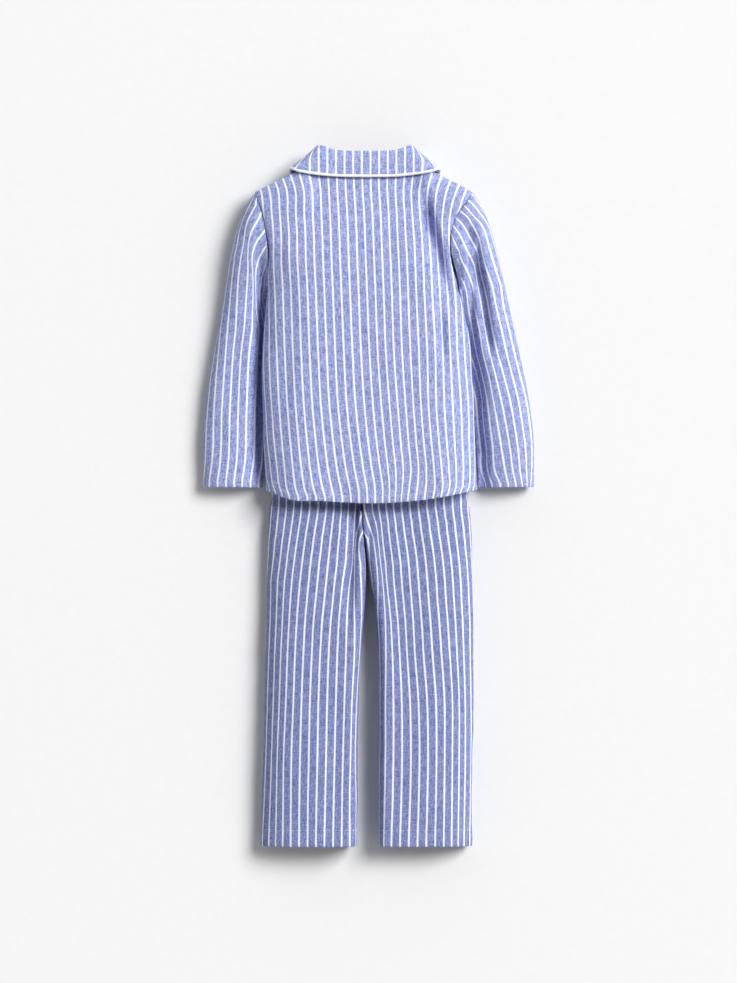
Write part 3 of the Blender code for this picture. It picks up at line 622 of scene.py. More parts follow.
def torso_rise(along, across):
    return over_ridge(along, across, lambda angle: 1 - np.cos(angle))


def shoulder_bend(across):
    reach = np.abs(across)
    rise = -NECK_RISE / (follow(TORSO, "centre_y", 1.0) - follow(TORSO, "side_y", 1.0))
    slope = mix(rise, 1.0, (reach - NECK_SHARE) / (1 - NECK_SHARE))
    return np.where(reach < NECK_SHARE, rise * (reach / NECK_SHARE) ** 2, slope)


def half_width(along, across):
    middle = follow(TORSO, "middle", along)
    right = follow(TORSO, "right", along) - middle
    return np.where(across < 0, middle - follow(TORSO, "left", along), right)


def torso_plan(along, across):
    at = over_ridge(along, across, np.sin)
    x = follow(TORSO, "middle", at) + across * half_width(at, across)
    bend = mix(across**2, shoulder_bend(across), ease(at, UNDERARM, 1.0))
    return x, mix(follow(TORSO, "centre_y", at), follow(TORSO, "side_y", at), bend)


def back_height(along, across):
    at = torso_rise(along, across)
    height = follow(TORSO, "height", at) - CROWN * across**2
    distance = (1 - np.abs(across)) * half_width(along, across)
    return mix(height, follow(TORSO, "side_back", at), corner(distance, SIDE_REACH_BACK))


def jacket_back(along, shares):
    along = along[:, None]
    across = crowded(-1, 1)[None, :]
    x, y = torso_plan(along, across)
    return even(joined(x, y, back_height(along, across) - crease("jacket_back", x, y)), shares)


def front_lift(x, y):
    strip = 1 - ease(np.abs(x), STRIP_HALF, STRIP_HALF + LIFT_FADE)
    leaf = 1 - ease(np.hypot(x / NECK_OVAL, y - NECK_CENTRE_Y), LEAF_REACH, LEAF_REACH + LIFT_FADE)
    return FRONT_LIFT * (1 - (1 - strip) * (1 - leaf))


def front_plan(along, across):
    x, y = torso_plan(along, across)
    in_neck = np.clip(np.abs(across) / NECK_SHARE, 0, 1)
    drop = FRONT_NECK_DROP * np.sqrt(1 - in_neck**NECK_ROUND)
    return x, y - drop * ease(along, 0.45, 1)


def shoulder_round(along, across, y):
    top = torso_plan(np.ones_like(along), across)[1]
    low = torso_plan(np.full_like(along, RIDGE), across)[1]
    beside_neck = np.clip((y - low) / (top - low), 0, 1)
    on_shoulder = np.clip((along - RIDGE) / (1 - RIDGE), 0, 1)
    share = mix(beside_neck, on_shoulder, ease(np.abs(across), *NECK_BLEND))
    return 1 - np.sqrt(1 - share**2)


def front_height(along, across, x, y):
    at = torso_rise(along, across)
    lift = front_lift(x, y)
    side = corner((1 - np.abs(across)) * half_width(along, across), SIDE_REACH_FRONT)
    shoulder = back_height(np.ones_like(along), across)
    edge = np.minimum(follow(TORSO, "side_front", at), follow(TORSO, "side_back", at))
    rise = side * (edge - lift)
    return lift + rise + (1 - side) * shoulder_round(along, across, y) * (shoulder - lift)


def lap(x, along):
    more = 1 + LAP_MORE * ease(along, RIDGE, 1)
    return (WALL + SEAM) * more * (1 - ease(x, *LAP_FADE))


def jacket_front(side, along, shares):
    along = along[:, None]
    sign = SIGN[side]
    past = -sign * PLACKET_HALF / half_width(along, -sign)
    across = mix(sign * 1.0, past, crowded(0, 1)[None, :])
    x, y = front_plan(along, across)
    z = front_height(along, across, x, y)
    if side == "right":
        z = z + lap(x, along)
    return even(joined(x, y, z), shares)


def ring_of(over, under, count):
    """A closed ring of this many points: across the top, and back underneath."""
    shares = np.linspace(0, 1, count // 2 + 1)
    return np.concatenate([even(over[None], shares)[0], even(under[None, ::-1], shares)[0, 1:-1]])


def armhole(side, count):
    down = np.linspace(1, UNDERARM, ARMHOLE_ROWS)[:, None]
    sign = np.full((1, 1), float(SIGN[side]))
    back = joined(*torso_plan(down, sign), back_height(down, sign))[:, 0]
    x, y = front_plan(down, sign)
    front = joined(x, y, front_height(down, sign, x, y))[:, 0]
    back[-1] = front[-1] = 0.5 * (back[-1] + front[-1])
    return ring_of(back, front, count)


def rounded(height, outer, outer_z, inner, inner_z, creases):
    """A height that comes down to the outer and inner edges, with creases between them."""
    z = height - outer * (height - outer_z) - inner * (height - inner_z)
    return z - creases * (1 - outer) * (1 - inner)


def sleeve_ring(side, i, count):
    row = {column: values[i] for column, values in SLEEVES[side].items()}
    share = crowded(0, 1)
    x = mix(row["outer_x"], row["inner_x"], share)
    y = mix(row["outer_y"], row["inner_y"], share)
    outer = corner(share, OUTER_ROUND)
    inner = corner(1 - share, INNER_ROUND[side])
    creases = crease("sleeve_" + side, x, y)
    top = rounded(row["height"], outer, row["outer_z"], inner, row["inner_z"], creases)
    bottom = corner(share, UNDER_ROUND) * row["outer_z"] + corner(1 - share, UNDER_ROUND) * row["inner_z"]
    return ring_of(joined(x, y, top), joined(x, y, bottom), count)


def sleeve(side, length_rows, count):
    """The sleeve's rings from armhole to cuff, each from the underarm, underneath, and over the crown."""
    along = SLEEVES[side]["along"]
    rings = np.array([armhole(side, count)] + [sleeve_ring(side, i, count) for i in range(len(along))])
    rings[0] += ARMHOLE_GAP * unit(rings[1] - rings[0])
    points = follow({"along": np.append(0.0, along)}, rings, np.linspace(0, 1, length_rows))
    points[..., 2] = np.maximum(points[..., 2], 0)
    return np.roll(points, -(count // 2), axis=1)


def leg(side, along, outer_reach, inner_reach):
    """The table's values along a leg, the places across it, and how far its two edges have turned."""
    row = {column: follow(LEGS[side], column, along[:, None]) for column in LEGS[side]}
    x = mix(row["outer"], row["inner"], crowded(0, 1)[None, :])
    outer = corner(np.abs(x - row["outer"]), outer_reach)
    inner = corner(np.abs(x - row["inner"]), inner_reach)
    return row, x, row["y"] + 0 * x, outer, inner


def trouser_back(side, along, shares):
    row, x, y, outer, inner = leg(side, along, OUTER_REACH[side], INNER_REACH[side])
    z = rounded(row["height"], outer, row["outer_z"], inner, row["inner_back"], crease(side, x, y))
    return even(joined(x, y, z), shares)


def trouser_front(side, along, shares):
    row, x, y, outer, inner = leg(side, along, UNDER_REACH, UNDER_REACH)
    covered = ease(y, *JACKET_COVER)
    lapped = (WALL + SEAM) * (1 - ease(np.abs(x), STRIP_HALF, STRIP_HALF + LIFT_FADE))
    floor = covered * (WALL + 2 * SEAM + front_lift(x, y) + lapped)
    crotch = np.maximum(np.minimum(row["inner_front"], row["inner_back"]) - floor, 0)
    z = floor + outer * (row["outer_z"] - floor) + inner * (crotch * (1 - covered))
    return even(joined(x, y, z), shares)


def waistband(rows, count):
    shares = np.linspace(0, 1, count // 4 + 1)
    top = np.zeros(1)
    over_left, over_right, under_left, under_right = (
        half(side, top, shares)[0] for half in (trouser_back, trouser_front) for side in SIDES
    )
    ring = np.concatenate([over_left, over_right[-2:0:-1], under_right, under_left[-2:0:-1]])
    share = np.linspace(0, 1, rows)[:, None]
    x = ring[:, 0] * (1 - WAIST_DRAW * share)
    return joined(x, ring[:, 1] + (SEAM + share * WAISTBAND_DEPTH), ring[:, 2])


def neckline(along):
    at = np.abs(along)
    past_shoulder = at - NECK_TURN
    round_front = np.clip(past_shoulder / (1 - NECK_TURN), 0, 1) * NECK_END * np.pi / 2
    in_neck = np.where(at < NECK_TURN, at / NECK_TURN, np.cos(round_front) ** (2 / NECK_ROUND))
    across = np.sign(along) * NECK_SHARE * in_neck
    top = np.ones_like(across)
    x, back_y = torso_plan(top, across)
    front_y = front_plan(top, across)[1]
    under = front_height(top, across, x, front_y) + np.where(along > 0, lap(x, top), 0)
    y = np.where(at < NECK_TURN, back_y, front_y)
    z = np.where(at < NECK_TURN, back_height(top, across), under)
    middle = 0.5 * WALL * mix(-1, 1, ease(past_shoulder, -0.06, 0.06))
    steep = ease(past_shoulder, -0.05, 0.02) * (1 - ease(past_shoulder, 0.14, 0.24))
    return joined(x - np.sign(along) * NECK_INSIDE * steep, y, z + middle)


def collar_row(along):
    sign = np.where(along < 0, -1.0, 1.0)
    at = np.abs(along)
    lines = []
    for part in ("roll", "edge"):
        x, y, z = (follow(COLLAR, part + axis, at) for axis in ("_x", "_y", "_z"))
        reach = np.where(along < 0, -1.0, mix(1.0, RIGHT_HALF[part], ease(x, 10, 60)))
        lines.append(joined(COLLAR_MIDDLE + reach * x, y, z))
    turn = np.radians(follow(COLLAR, "turn", at))
    out = joined(-sign * np.cos(turn), 0.0, np.sin(turn))
    cut = neckline(along)
    return cut + COLLAR_SEAM * unit(lines[0] - cut), *lines, out


def collar(along, shares):
    seam, roll, edge, out = (part[:, None, :] for part in collar_row(along))
    half_turn = np.linspace(0, np.pi, 13)[None, :, None]
    rolled = roll + ROLL_RADIUS * (np.sin(half_turn) * unit(roll - seam) - np.cos(half_turn) * out)
    share = np.linspace(0, 1, 40)[None, :, None]
    stand = mix(seam, rolled[:, :1], share[:, :-1])
    fall = mix(rolled[:, -1:], edge, share[:, 1:]) + FALL_ARCH * np.sin(np.pi * share[:, 1:]) * out
    return even(np.concatenate([stand, rolled, fall], axis=1), shares)


def piping_path():
    lines = collar(np.linspace(-1, 1, 41), np.array([0.5, 0.55, 0.9, 1.0]))
    down = unit(lines[:, 3] - lines[:, 2])
    edge = lines[:, 3] + PIPING_CLEAR * down
    ends = []
    for end, step in ((0, 1), (-1, -1)):
        toward = lines[end, 3] - lines[end + step, 3]
        toward -= np.dot(toward, down[end]) * down[end]
        toward *= PIPING_CLEAR / np.linalg.norm(toward)
        front = [mix(lines[end, 1], lines[end, 3], share) + toward for share in np.linspace(0, 1, 4)]
        ends.append(front + [edge[end] + 0.75 * toward])
    path = np.array(ends[0] + list(edge[1:-1]) + ends[1][::-1])
    path[:, 2] = np.maximum(path[:, 2], PIPING_LOW)
    return path


# ---------------- cloth coordinates


def pick(values, i):
    return np.take_along_axis(values, i[..., None], -1)[..., 0]


def stripe_count(stripes, x, y):
    """Which stripe runs through each place, as a number, and whether the place is between two of them."""
    names = [name for name in stripes if name != "y"]
    numbers = np.array([float(name) for name in names])
    level = np.clip(y, stripes["y"][0], stripes["y"][-1])
    places = TABLE_SHIFT + np.stack([follow(stripes, name, level, key="y") for name in names], axis=-1)
    last = len(names) - 1
    after = np.minimum(np.arange(len(names)) + 1, last)
    before = np.maximum(np.arange(len(names)) - 1, 0)
    slopes = (numbers[after] - numbers[before]) / (places[..., after] - places[..., before])
    i = np.clip(np.sum(places <= x[..., None], axis=-1) - 1, 0, last - 1)
    low = pick(places, i)
    span = pick(places, i + 1) - low
    f = np.clip((x - low) / span, 0, 1)
    rise = cubic(f, numbers[i + 1] - numbers[i], pick(slopes, i) * span, pick(slopes, i + 1) * span)
    return numbers[i] + rise, (x >= places[..., 0]) & (x <= places[..., -1])


def across_cloth(points, stripes, seen=True):
    """Millimetres across the cloth: as the stripes run where they are given, and along the cloth beyond."""
    x = points[..., 0]
    count, inside = stripe_count(stripes, x, points[..., 1])
    inside &= seen
    for edge in (x.min(axis=1, keepdims=True), x.max(axis=1, keepdims=True)):
        inside &= np.abs(x - edge) > SIDE_WALL
    across = count * STRIPE_PITCH
    for row, reach, given in zip(across, arc(points, 1), inside):
        first, last = np.flatnonzero(given)[[0, -1]]
        sign = np.sign(row[last] - row[first])
        row[:first] = row[first] + sign * (reach[:first] - reach[first])
        row[last + 1 :] = row[last] + sign * (reach[last + 1 :] - reach[last])
    return across


# ---------------- relief


def fold_relief(name, x, y, seed):
    """Soft troughs and ridges along bowed lines that waver, and are uneven along their length."""
    rng = np.random.default_rng(seed)
    relief = np.zeros(np.broadcast(x, y).shape)
    for *line, bow, half, deep in zip(*FOLDS[name].values()):
        along, across, length = beside(x, y, *line)
        waver = rng.uniform(0, 2 * np.pi, 3)
        across = across - bow * 4 * along * (1 - along)
        across = across + 0.3 * half * np.sin(along * length / 34 + waver[0])
        uneven = 1 + 0.3 * np.sin(along * length / 27 + waver[1])
        wide = half * (1 + 0.2 * np.sin(along * length / 41 + waver[2]))
        relief -= deep * tapered(along, FOLD_END) * uneven * bump_at(across, 0, wide)
    return relief


def rumple(x, y, seed, low=22.0, high=70.0, waves=14):
    """Gentle uneven waves, about 1 deep, with wavelengths between low and high."""
    rng = np.random.default_rng(seed)
    total = np.zeros(np.broadcast(x, y).shape)
    for _ in range(waves):
        angle = rng.normal(0, 0.7)
        length = rng.uniform(low, high)
        phase = rng.uniform(0, 2 * np.pi)
        total += np.sin((x * np.cos(angle) + y * np.sin(angle)) * 2 * np.pi / length + phase)
    return total / np.sqrt(waves / 2)


def puckers(place, away, length, seed, spacing=(5.0, 11.0), reach=(5.0, 15.0)):
    """Short pulled wrinkles square to a seam.  place runs along the seam, away is the distance from it."""
    rng = np.random.default_rng(seed)
    relief = np.zeros(np.broadcast(place, away).shape)
    at = rng.uniform(*spacing)
    while at < length:
        half = rng.uniform(1.3, 2.4)
        deep = rng.uniform(0.4, 1.0)
        far = rng.uniform(*reach)
        lean = rng.uniform(-0.25, 0.25)
        relief -= deep * bump_at(place - at, lean * away, half) * bump_at(away, 0, far)
        at += rng.uniform(*spacing)
    return relief


def hem_relief(up, hem, place, seed):
    """A turned-up hem: a swell below its line of stitches, a groove along them, and fine ripples."""
    stitch = HEM_STITCH[hem]
    swell = HEM_SWELL * np.exp(-(((up - 0.5 * stitch) / (0.42 * stitch)) ** 4))
    groove = -GROOVE_DEPTH * bump_at(up, stitch, GROOVE_HALF)
    ripple = 0.16 * rumple(place, 0.2 * up, seed, 6.0, 15.0, 9) * bump_at(up, 0.6 * stitch, 0.7 * stitch)
    return swell + groove + ripple


def seam_relief(distance):
    """The cloth turns in where it meets a seam."""
    return -SEAM_DIP * bump_at(distance, 0, SEAM_REACH)


def hem_sag(points):
    """The jacket's hem hangs lower towards its left corner."""
    x, y = points[..., 0], points[..., 1]
    drop = SAG_DEPTH * bump_at(x, SAG_X, SAG_REACH) * ease(SAG_TOP - y, 0, SAG_TOP)
    return joined(x, y - drop, points[..., 2])

# ---------------- shells


def grid_normals(points, facing=None):
    """Unit normals of a grid that face up (1) or down (-1), or of closed rings, facing out."""
    up = np.gradient(points, axis=0)
    if facing:
        normals = unit(np.cross(np.gradient(points, axis=1), up))
        return normals * np.sign(facing * normals[..., 2].mean())
    normals = unit(np.cross(np.roll(points, -1, axis=1) - np.roll(points, 1, axis=1), up))
    return normals * np.sign(np.sum(normals * (points - points.mean(axis=1, keepdims=True))))


def border(rows, columns, closed):
    """Loops of (row, column) pairs round the grid, each ending where it starts."""
    low = [(0, c) for c in range(columns + closed)]
    if closed:
        return [low, [(rows - 1, c) for c in range(columns, -1, -1)]]
    right = [(r, columns - 1) for r in range(1, rows)]
    high = [(rows - 1, c) for c in range(columns - 2, -1, -1)]
    return [low + right + high + [(r, 0) for r in range(rows - 2, -1, -1)]]


def shell(name, points, normals, thickness, across, up, closed):
    """A closed thin shell with rounded rims, and its cloth coordinates as a UV map."""
    rows, columns = points.shape[:2]
    inner = points - np.asarray(thickness)[..., None] * normals
    count = rows * columns
    wide = across.shape[1]
    r, c = np.meshgrid(np.arange(rows - 1), np.arange(columns if closed else columns - 1), indexing="ij")
    r, c = r.ravel(), c.ravel()
    quad_r = np.stack([r, r, r + 1, r + 1], axis=1)
    quad_c = np.stack([c, c + 1, c + 1, c], axis=1)
    outer_faces = quad_r * columns + quad_c % columns
    cloth_at = quad_r * wide + quad_c
    faces = [outer_faces, count + outer_faces[:, ::-1]]
    cloth = [cloth_at, cloth_at[:, ::-1]]
    vertices = [points.reshape(-1, 3), inner.reshape(-1, 3)]
    used = 2 * count
    for loop in border(rows, columns, closed):
        loop_r, loop_c = np.array(loop).T
        place = loop_r * columns + loop_c % columns
        near_r = np.clip(loop_r, 1, rows - 2)
        near_c = loop_c % columns if closed else np.clip(loop_c, 1, columns - 2)
        outer_ring = points[loop_r, loop_c % columns]
        inner_ring = inner[loop_r, loop_c % columns]
        outward = unit(outer_ring - points[near_r, near_c])
        bulge = RIM_BULGE * np.linalg.norm(outer_ring - inner_ring, axis=1, keepdims=True)
        middle = 0.5 * (outer_ring + inner_ring)
        rings = [place]
        for step in range(1, RIM_STEPS):
            angle = np.pi * step / RIM_STEPS
            ring = middle + np.cos(angle) * (outer_ring - middle) + np.sin(angle) * bulge * outward
            vertices.append(ring[:-1])
            rings.append(np.append(used + np.arange(len(ring) - 1), used))
            used += len(ring) - 1
        rings.append(count + place)
        at = loop_r * wide + loop_c
        for first, second in zip(rings, rings[1:]):
            faces.append(np.stack([first[1:], first[:-1], second[:-1], second[1:]], axis=1))
            cloth.append(np.stack([at[1:], at[:-1], at[:-1], at[1:]], axis=1))
    faces = np.concatenate(faces)
    cloth = np.concatenate(cloth)
    vertices = np.concatenate(vertices)
    if volume(vertices, faces) < 0:
        faces, cloth = faces[:, ::-1], cloth[:, ::-1]
    made = put(name, vertices, faces.tolist())
    coordinates = np.stack([across.ravel(), up.ravel()], axis=1)[cloth.ravel()]
    made.data.uv_layers.new(name="cloth").data.foreach_set("uv", coordinates.ravel())
    return made


def volume(vertices, faces):
    a, b, c, d = (vertices[faces[:, i]] for i in range(4))
    return np.sum(a * np.cross(b, c)) + np.sum(a * np.cross(c, d))


def put(name, vertices, faces, material=None):
    """One smooth mesh, from millimetres, that rides the set's one body."""
    mesh = bpy.data.meshes.new(name)
    mesh.from_pydata((vertices * MM).tolist(), [], faces)
    mesh.shade_smooth()
    made = place_in_scene(name, mesh)
    if material:
        mesh.materials.append(material)
    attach(made, "root")
    return made


def place_in_scene(name, data):
    made = bpy.data.objects.new(name, data)
    bpy.context.scene.collection.objects.link(made)
    return made


def cloth_piece(node, shape, material, **cut):
    """One shell, with its material, that stands for a frame node, whose own part is hidden."""
    made = shell(node + "_cloth", **shape)
    made.data.materials.append(material)
    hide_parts(node)


# ---------------- the pieces


def spread(grid):
    """Shares for a grid's rows and columns, a little short of the piece's edges."""
    return [np.linspace(EDGE_SPARE, 1 - EDGE_SPARE, count) for count in grid]


def measures(points):
    """x and y of each place, and how far up its column and over its row it is."""
    return points[..., 0], points[..., 1], arc(points, 0), arc(points, 1)


def raised(points, normals, relief):
    return points + relief[..., None] * normals


def hem_wall(up, hem):
    """The cloth's thickness, which is more where the hem is turned up."""
    return mix(HEM_WALL, WALL, ease(up, HEM_STITCH[hem] - HEM_STEP, HEM_STITCH[hem] + HEM_STEP))


def cut_shape(points, normals, thickness, across, up, closed=False):
    """What shell() needs.  The cloth of closed rings has one more column than their points."""
    up = close(up) if closed else up
    return dict(points=points, normals=normals, thickness=thickness, across=across, up=up, closed=closed)


def back_shape():
    points = jacket_back(*spread(BACK_GRID))
    normals = grid_normals(points, 1)
    x, y, up, over = measures(points)
    to_right = over[:, -1:] - over
    armhole_height = up - up[[int(UNDERARM * BACK_GRID[0])]]
    in_armhole = ease(armhole_height, -6, 4)
    relief = fold_relief("jacket_back", x, y, SEED)
    relief += RUMPLE * rumple(x, RUMPLE_SQUASH * y, SEED + 1)
    relief += hem_relief(up, "jacket", x, SEED + 2)
    relief += seam_relief(np.minimum(over, to_right))
    for near, seed in ((over, SEED + 3), (to_right, SEED + 4)):
        relief += PUCKER_DEPTH * in_armhole * puckers(armhole_height, near, ARMHOLE_LENGTH, seed)
        small = puckers(up, near, SIDE_LENGTH, seed + 10, (9, 24), (3, 9))
        relief += SMALL_PUCKER_DEPTH * small * (1 - in_armhole)
    points = hem_sag(raised(points, normals, relief))
    return cut_shape(points, normals, hem_wall(up, "jacket"), across_cloth(points, TORSO_STRIPES), up)


def front_shape(side):
    points = jacket_front(side, *spread(FRONT_GRID))
    normals = grid_normals(points, -1)
    x, y, up, over = measures(points)
    from_strip = over[:, -1:] - over
    relief = fold_relief("jacket_front", x, y, SEED + 20)
    relief += hem_relief(up, "jacket", x, SEED + 21)
    relief += seam_relief(over)
    relief -= 0.3 * bump_at(from_strip, PLACKET_STITCH, 1.2)
    points = hem_sag(raised(points, normals, np.minimum(relief, 0)))
    across = FRONT_STRIPE_X + SIGN[side] * (from_strip - PLACKET_HALF)
    return cut_shape(points, normals, hem_wall(up, "jacket"), across, up)


def sleeve_shape(side):
    points = sleeve(side, *SLEEVE_GRID)
    normals = grid_normals(points)
    x, y, down, place = measures(points)
    up = down[-1:] - down
    from_underarm = np.minimum(place, arc(close(points), 1)[:, -1:] - place)
    on_top = ease(normals[..., 2], -0.1, 0.5)
    relief = fold_relief("sleeve_" + side, x, y, SEED + 30) * on_top
    relief += RUMPLE * rumple(x, RUMPLE_SQUASH * y, SEED + 31) * on_top
    seed = SEED + 32 + (side == "right")
    relief += PUCKER_DEPTH * puckers(place, down, place.max(), seed, (5, 10), (6, 18))
    relief += hem_relief(up, "cuff", place, seed + 5)
    relief += seam_relief(down) + seam_relief(from_underarm)
    relief = np.where(normals[..., 2] < -0.5, np.minimum(relief, 0), relief)
    points = raised(points, normals, relief)
    seen = np.arange(SLEEVE_GRID[1] + 1) >= SLEEVE_GRID[1] // 2
    across = across_cloth(close(points), SLEEVE_STRIPES[side], seen)
    return cut_shape(points, normals, hem_wall(up, "cuff"), across, up, closed=True)


def collar_shape():
    rows, columns = COLLAR_GRID
    along = np.linspace(-1, 1, rows)
    middle = collar(along, np.linspace(0, 1, columns))
    normals = unit(np.cross(np.gradient(middle, axis=1), np.gradient(middle, axis=0)))
    x = middle[..., 0]
    low = middle[:, int(0.75 * columns)]
    level = low[:, 0] - COLLAR_STRIPE_X
    own = ease(np.abs(along), *COLLAR_STRIPE_FADE)
    step = np.gradient(arc(low[:, None], 0)[:, 0]) * own + np.gradient(level) * (1 - own)
    run = np.append(0, np.cumsum(0.5 * (step[1:] + step[:-1])))
    run -= np.interp(0, along, run) - np.interp(0, along, level)
    across = mix(x - COLLAR_STRIPE_X, level[:, None], own[:, None]) + (run - level)[:, None]
    up = arc(middle, 1)
    from_edge = up[:, -1:] - up
    relief = 0.22 * rumple(x, 2 * from_edge, SEED + 50, 14, 40)
    relief -= 0.3 * bump_at(from_edge, COLLAR_STITCH, 0.9)
    relief += 0.6 * seam_relief(from_edge)
    relief *= ease(up, 0.5 * up.max(), 0.62 * up.max())
    points = raised(middle, normals, 0.5 * COLLAR_WALL + np.minimum(relief, 0.25))
    return cut_shape(points, normals, COLLAR_WALL, across, up)


def leg_back_shape(side):
    points = trouser_back(side, *spread(LEG_BACK_GRID))
    normals = grid_normals(points, 1)
    x, y, down, over = measures(points)
    up = down[-1:] - down
    to_inner = over[:, -1:] - over
    relief = fold_relief(side, x, y, SEED + 60)
    relief += RUMPLE * rumple(x, RUMPLE_SQUASH * y, SEED + 61)
    relief += hem_relief(up, "trouser", x, SEED + 62)
    relief += seam_relief(over) + seam_relief(to_inner)
    relief += SMALL_PUCKER_DEPTH * puckers(up, over, up.max(), SEED + 63, (9, 26), (3, 9))
    below_crotch = ease(-y, 20, 60)
    relief += 0.45 * below_crotch * puckers(up, to_inner, up.max(), SEED + 64, (8, 20), (4, 12))
    relief *= 1 - 0.8 * ease(y, -2, 14)
    points = raised(points, normals, relief)
    return cut_shape(points, normals, hem_wall(up, "trouser"), across_cloth(points, LEG_STRIPES[side]), up)


def leg_front_shape(side):
    points = trouser_front(side, *spread(LEG_FRONT_GRID))
    normals = grid_normals(points, -1)
    x, y, down, over = measures(points)
    up = down[-1:] - down
    relief = 0.5 * fold_relief(side, x, y, SEED + 70)
    relief += hem_relief(up, "trouser", x, SEED + 71)
    relief += seam_relief(over) + seam_relief(over[:, -1:] - over)
    points = raised(points, normals, np.minimum(relief, 0))
    return cut_shape(points, normals, hem_wall(up, "trouser"), SIGN[side] * (LEG_FRONT_STRIPE - over), up)


def waistband_shape():
    points = waistband(*WAISTBAND_GRID)
    normals = grid_normals(points)
    over = arc(close(points), 1)
    rise = arc(points, 0)
    relief = 0.25 * rumple(over[:, :-1], 0.1 * rise, SEED + 80, 5.0, 9.0, 9) - 0.25
    relief -= 0.4 * (bump_at(rise, 3.0, 1.2) + bump_at(rise, 21.0, 1.2))
    points = raised(points, normals, np.minimum(relief, 0))
    return cut_shape(points, normals, WALL, over, rise, closed=True)


# ---------------- piping and stitches


def circles(side, rise, sides):
    """A unit circle for each pair of directions."""
    angle = np.linspace(0, 2 * np.pi, sides, endpoint=False)
    return np.cos(angle)[None, :, None] * side[:, None] + np.sin(angle)[None, :, None] * rise[:, None]


def tube_faces(first, rings, sides):
    """Faces of a closed tube whose rings' vertices start at first."""
    faces = []
    for low in range(first, first + (rings - 1) * sides, sides):
        for j in range(sides):
            k = (j + 1) % sides
            faces.append((low + j, low + sides + j, low + sides + k, low + k))
    last = first + (rings - 1) * sides
    return faces + [tuple(range(first, first + sides)), tuple(range(last, last + sides))[::-1]]


def piping(material):
    path = piping_path()
    reach = arc(path[:, None], 0)[:, 0]
    fine = np.linspace(0, reach[-1], PIPING_SAMPLES)
    smooth = follow({"along": reach}, path, fine)
    smooth[:, 2] = np.maximum(smooth[:, 2], PIPING_LOW)
    phase = np.random.default_rng(SEED + 90).uniform(0, 6)
    swell = 1 + 0.03 * np.sin(fine / 3.1 + phase) + 0.03 * np.sin(fine / 7.7)
    swell = swell * mix(1.0, PIPING_PLUMP, ease(smooth[:, 2], 16, 24))
    tangents = unit(np.gradient(smooth, axis=0))
    side = unit(np.cross(tangents, [0.0, 0.0, 1.0]))
    rise = unit(np.cross(side, tangents))
    radii = PIPING_RADIUS * PIPING_SHARE * swell
    rings = smooth[:, None] + radii[:, None, None] * circles(side, rise, PIPING_SIDES)
    faces = tube_faces(0, PIPING_SAMPLES, PIPING_SIDES)
    made = put("collar_piping_bias", rings.reshape(-1, 3), faces, material)
    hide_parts("collar_piping")


def level_line(shape, levels, axis=0):
    """The outer surface's line at these heights of the cloth, and its normals there."""
    points, normals = shape["points"], shape["normals"]
    up = shape["up"][:, : points.shape[1]]
    if axis:
        points, normals, up = points.transpose(1, 0, 2), normals.transpose(1, 0, 2), up.T
    line = []
    for j, level in enumerate(np.broadcast_to(levels, points.shape[1])):
        order = np.argsort(up[:, j])
        both = np.concatenate([points[order, j], normals[order, j]], axis=1)
        line.append([np.interp(level, up[order, j], both[:, k]) for k in range(6)])
    line = np.array(line)
    if shape["closed"]:
        line = np.concatenate([line, line[:1]])
    return line[:, :3], line[:, 3:]


def sew(name, line, normals, material, seed):
    """A row of single stitches along a line on the cloth, each end pulled into it."""
    rng = np.random.default_rng(seed)
    reach = arc(line[:, None], 0)[:, 0]
    middle = np.arange(STITCH_STEP, reach[-1] - STITCH_STEP, STITCH_STEP)
    middle = middle + rng.uniform(-0.15, 0.15, len(middle))
    length = STITCH_LENGTH * rng.uniform(0.9, 1.08, len(middle))

    def read(values, place):
        return np.stack([np.interp(place, reach, values[:, k]) for k in range(3)], axis=1)

    vertices = []
    for at, wide, lift in STITCH_RINGS:
        place = middle + at * length
        centre = read(line, place)
        rise = unit(read(normals, place))
        side = unit(np.cross(read(line, place + 0.5) - centre, rise))
        ring = wide * THREAD_RADIUS * circles(side, rise, STITCH_SIDES)
        vertices.append(centre[:, None] + lift * rise[:, None] + ring)
    rings = len(STITCH_RINGS)
    faces = []
    for n in range(len(middle)):
        faces += tube_faces(n * rings * STITCH_SIDES, rings, STITCH_SIDES)
    made = put(name, np.stack(vertices, axis=1).reshape(-1, 3), faces, material)
    return made


# ---------------- materials


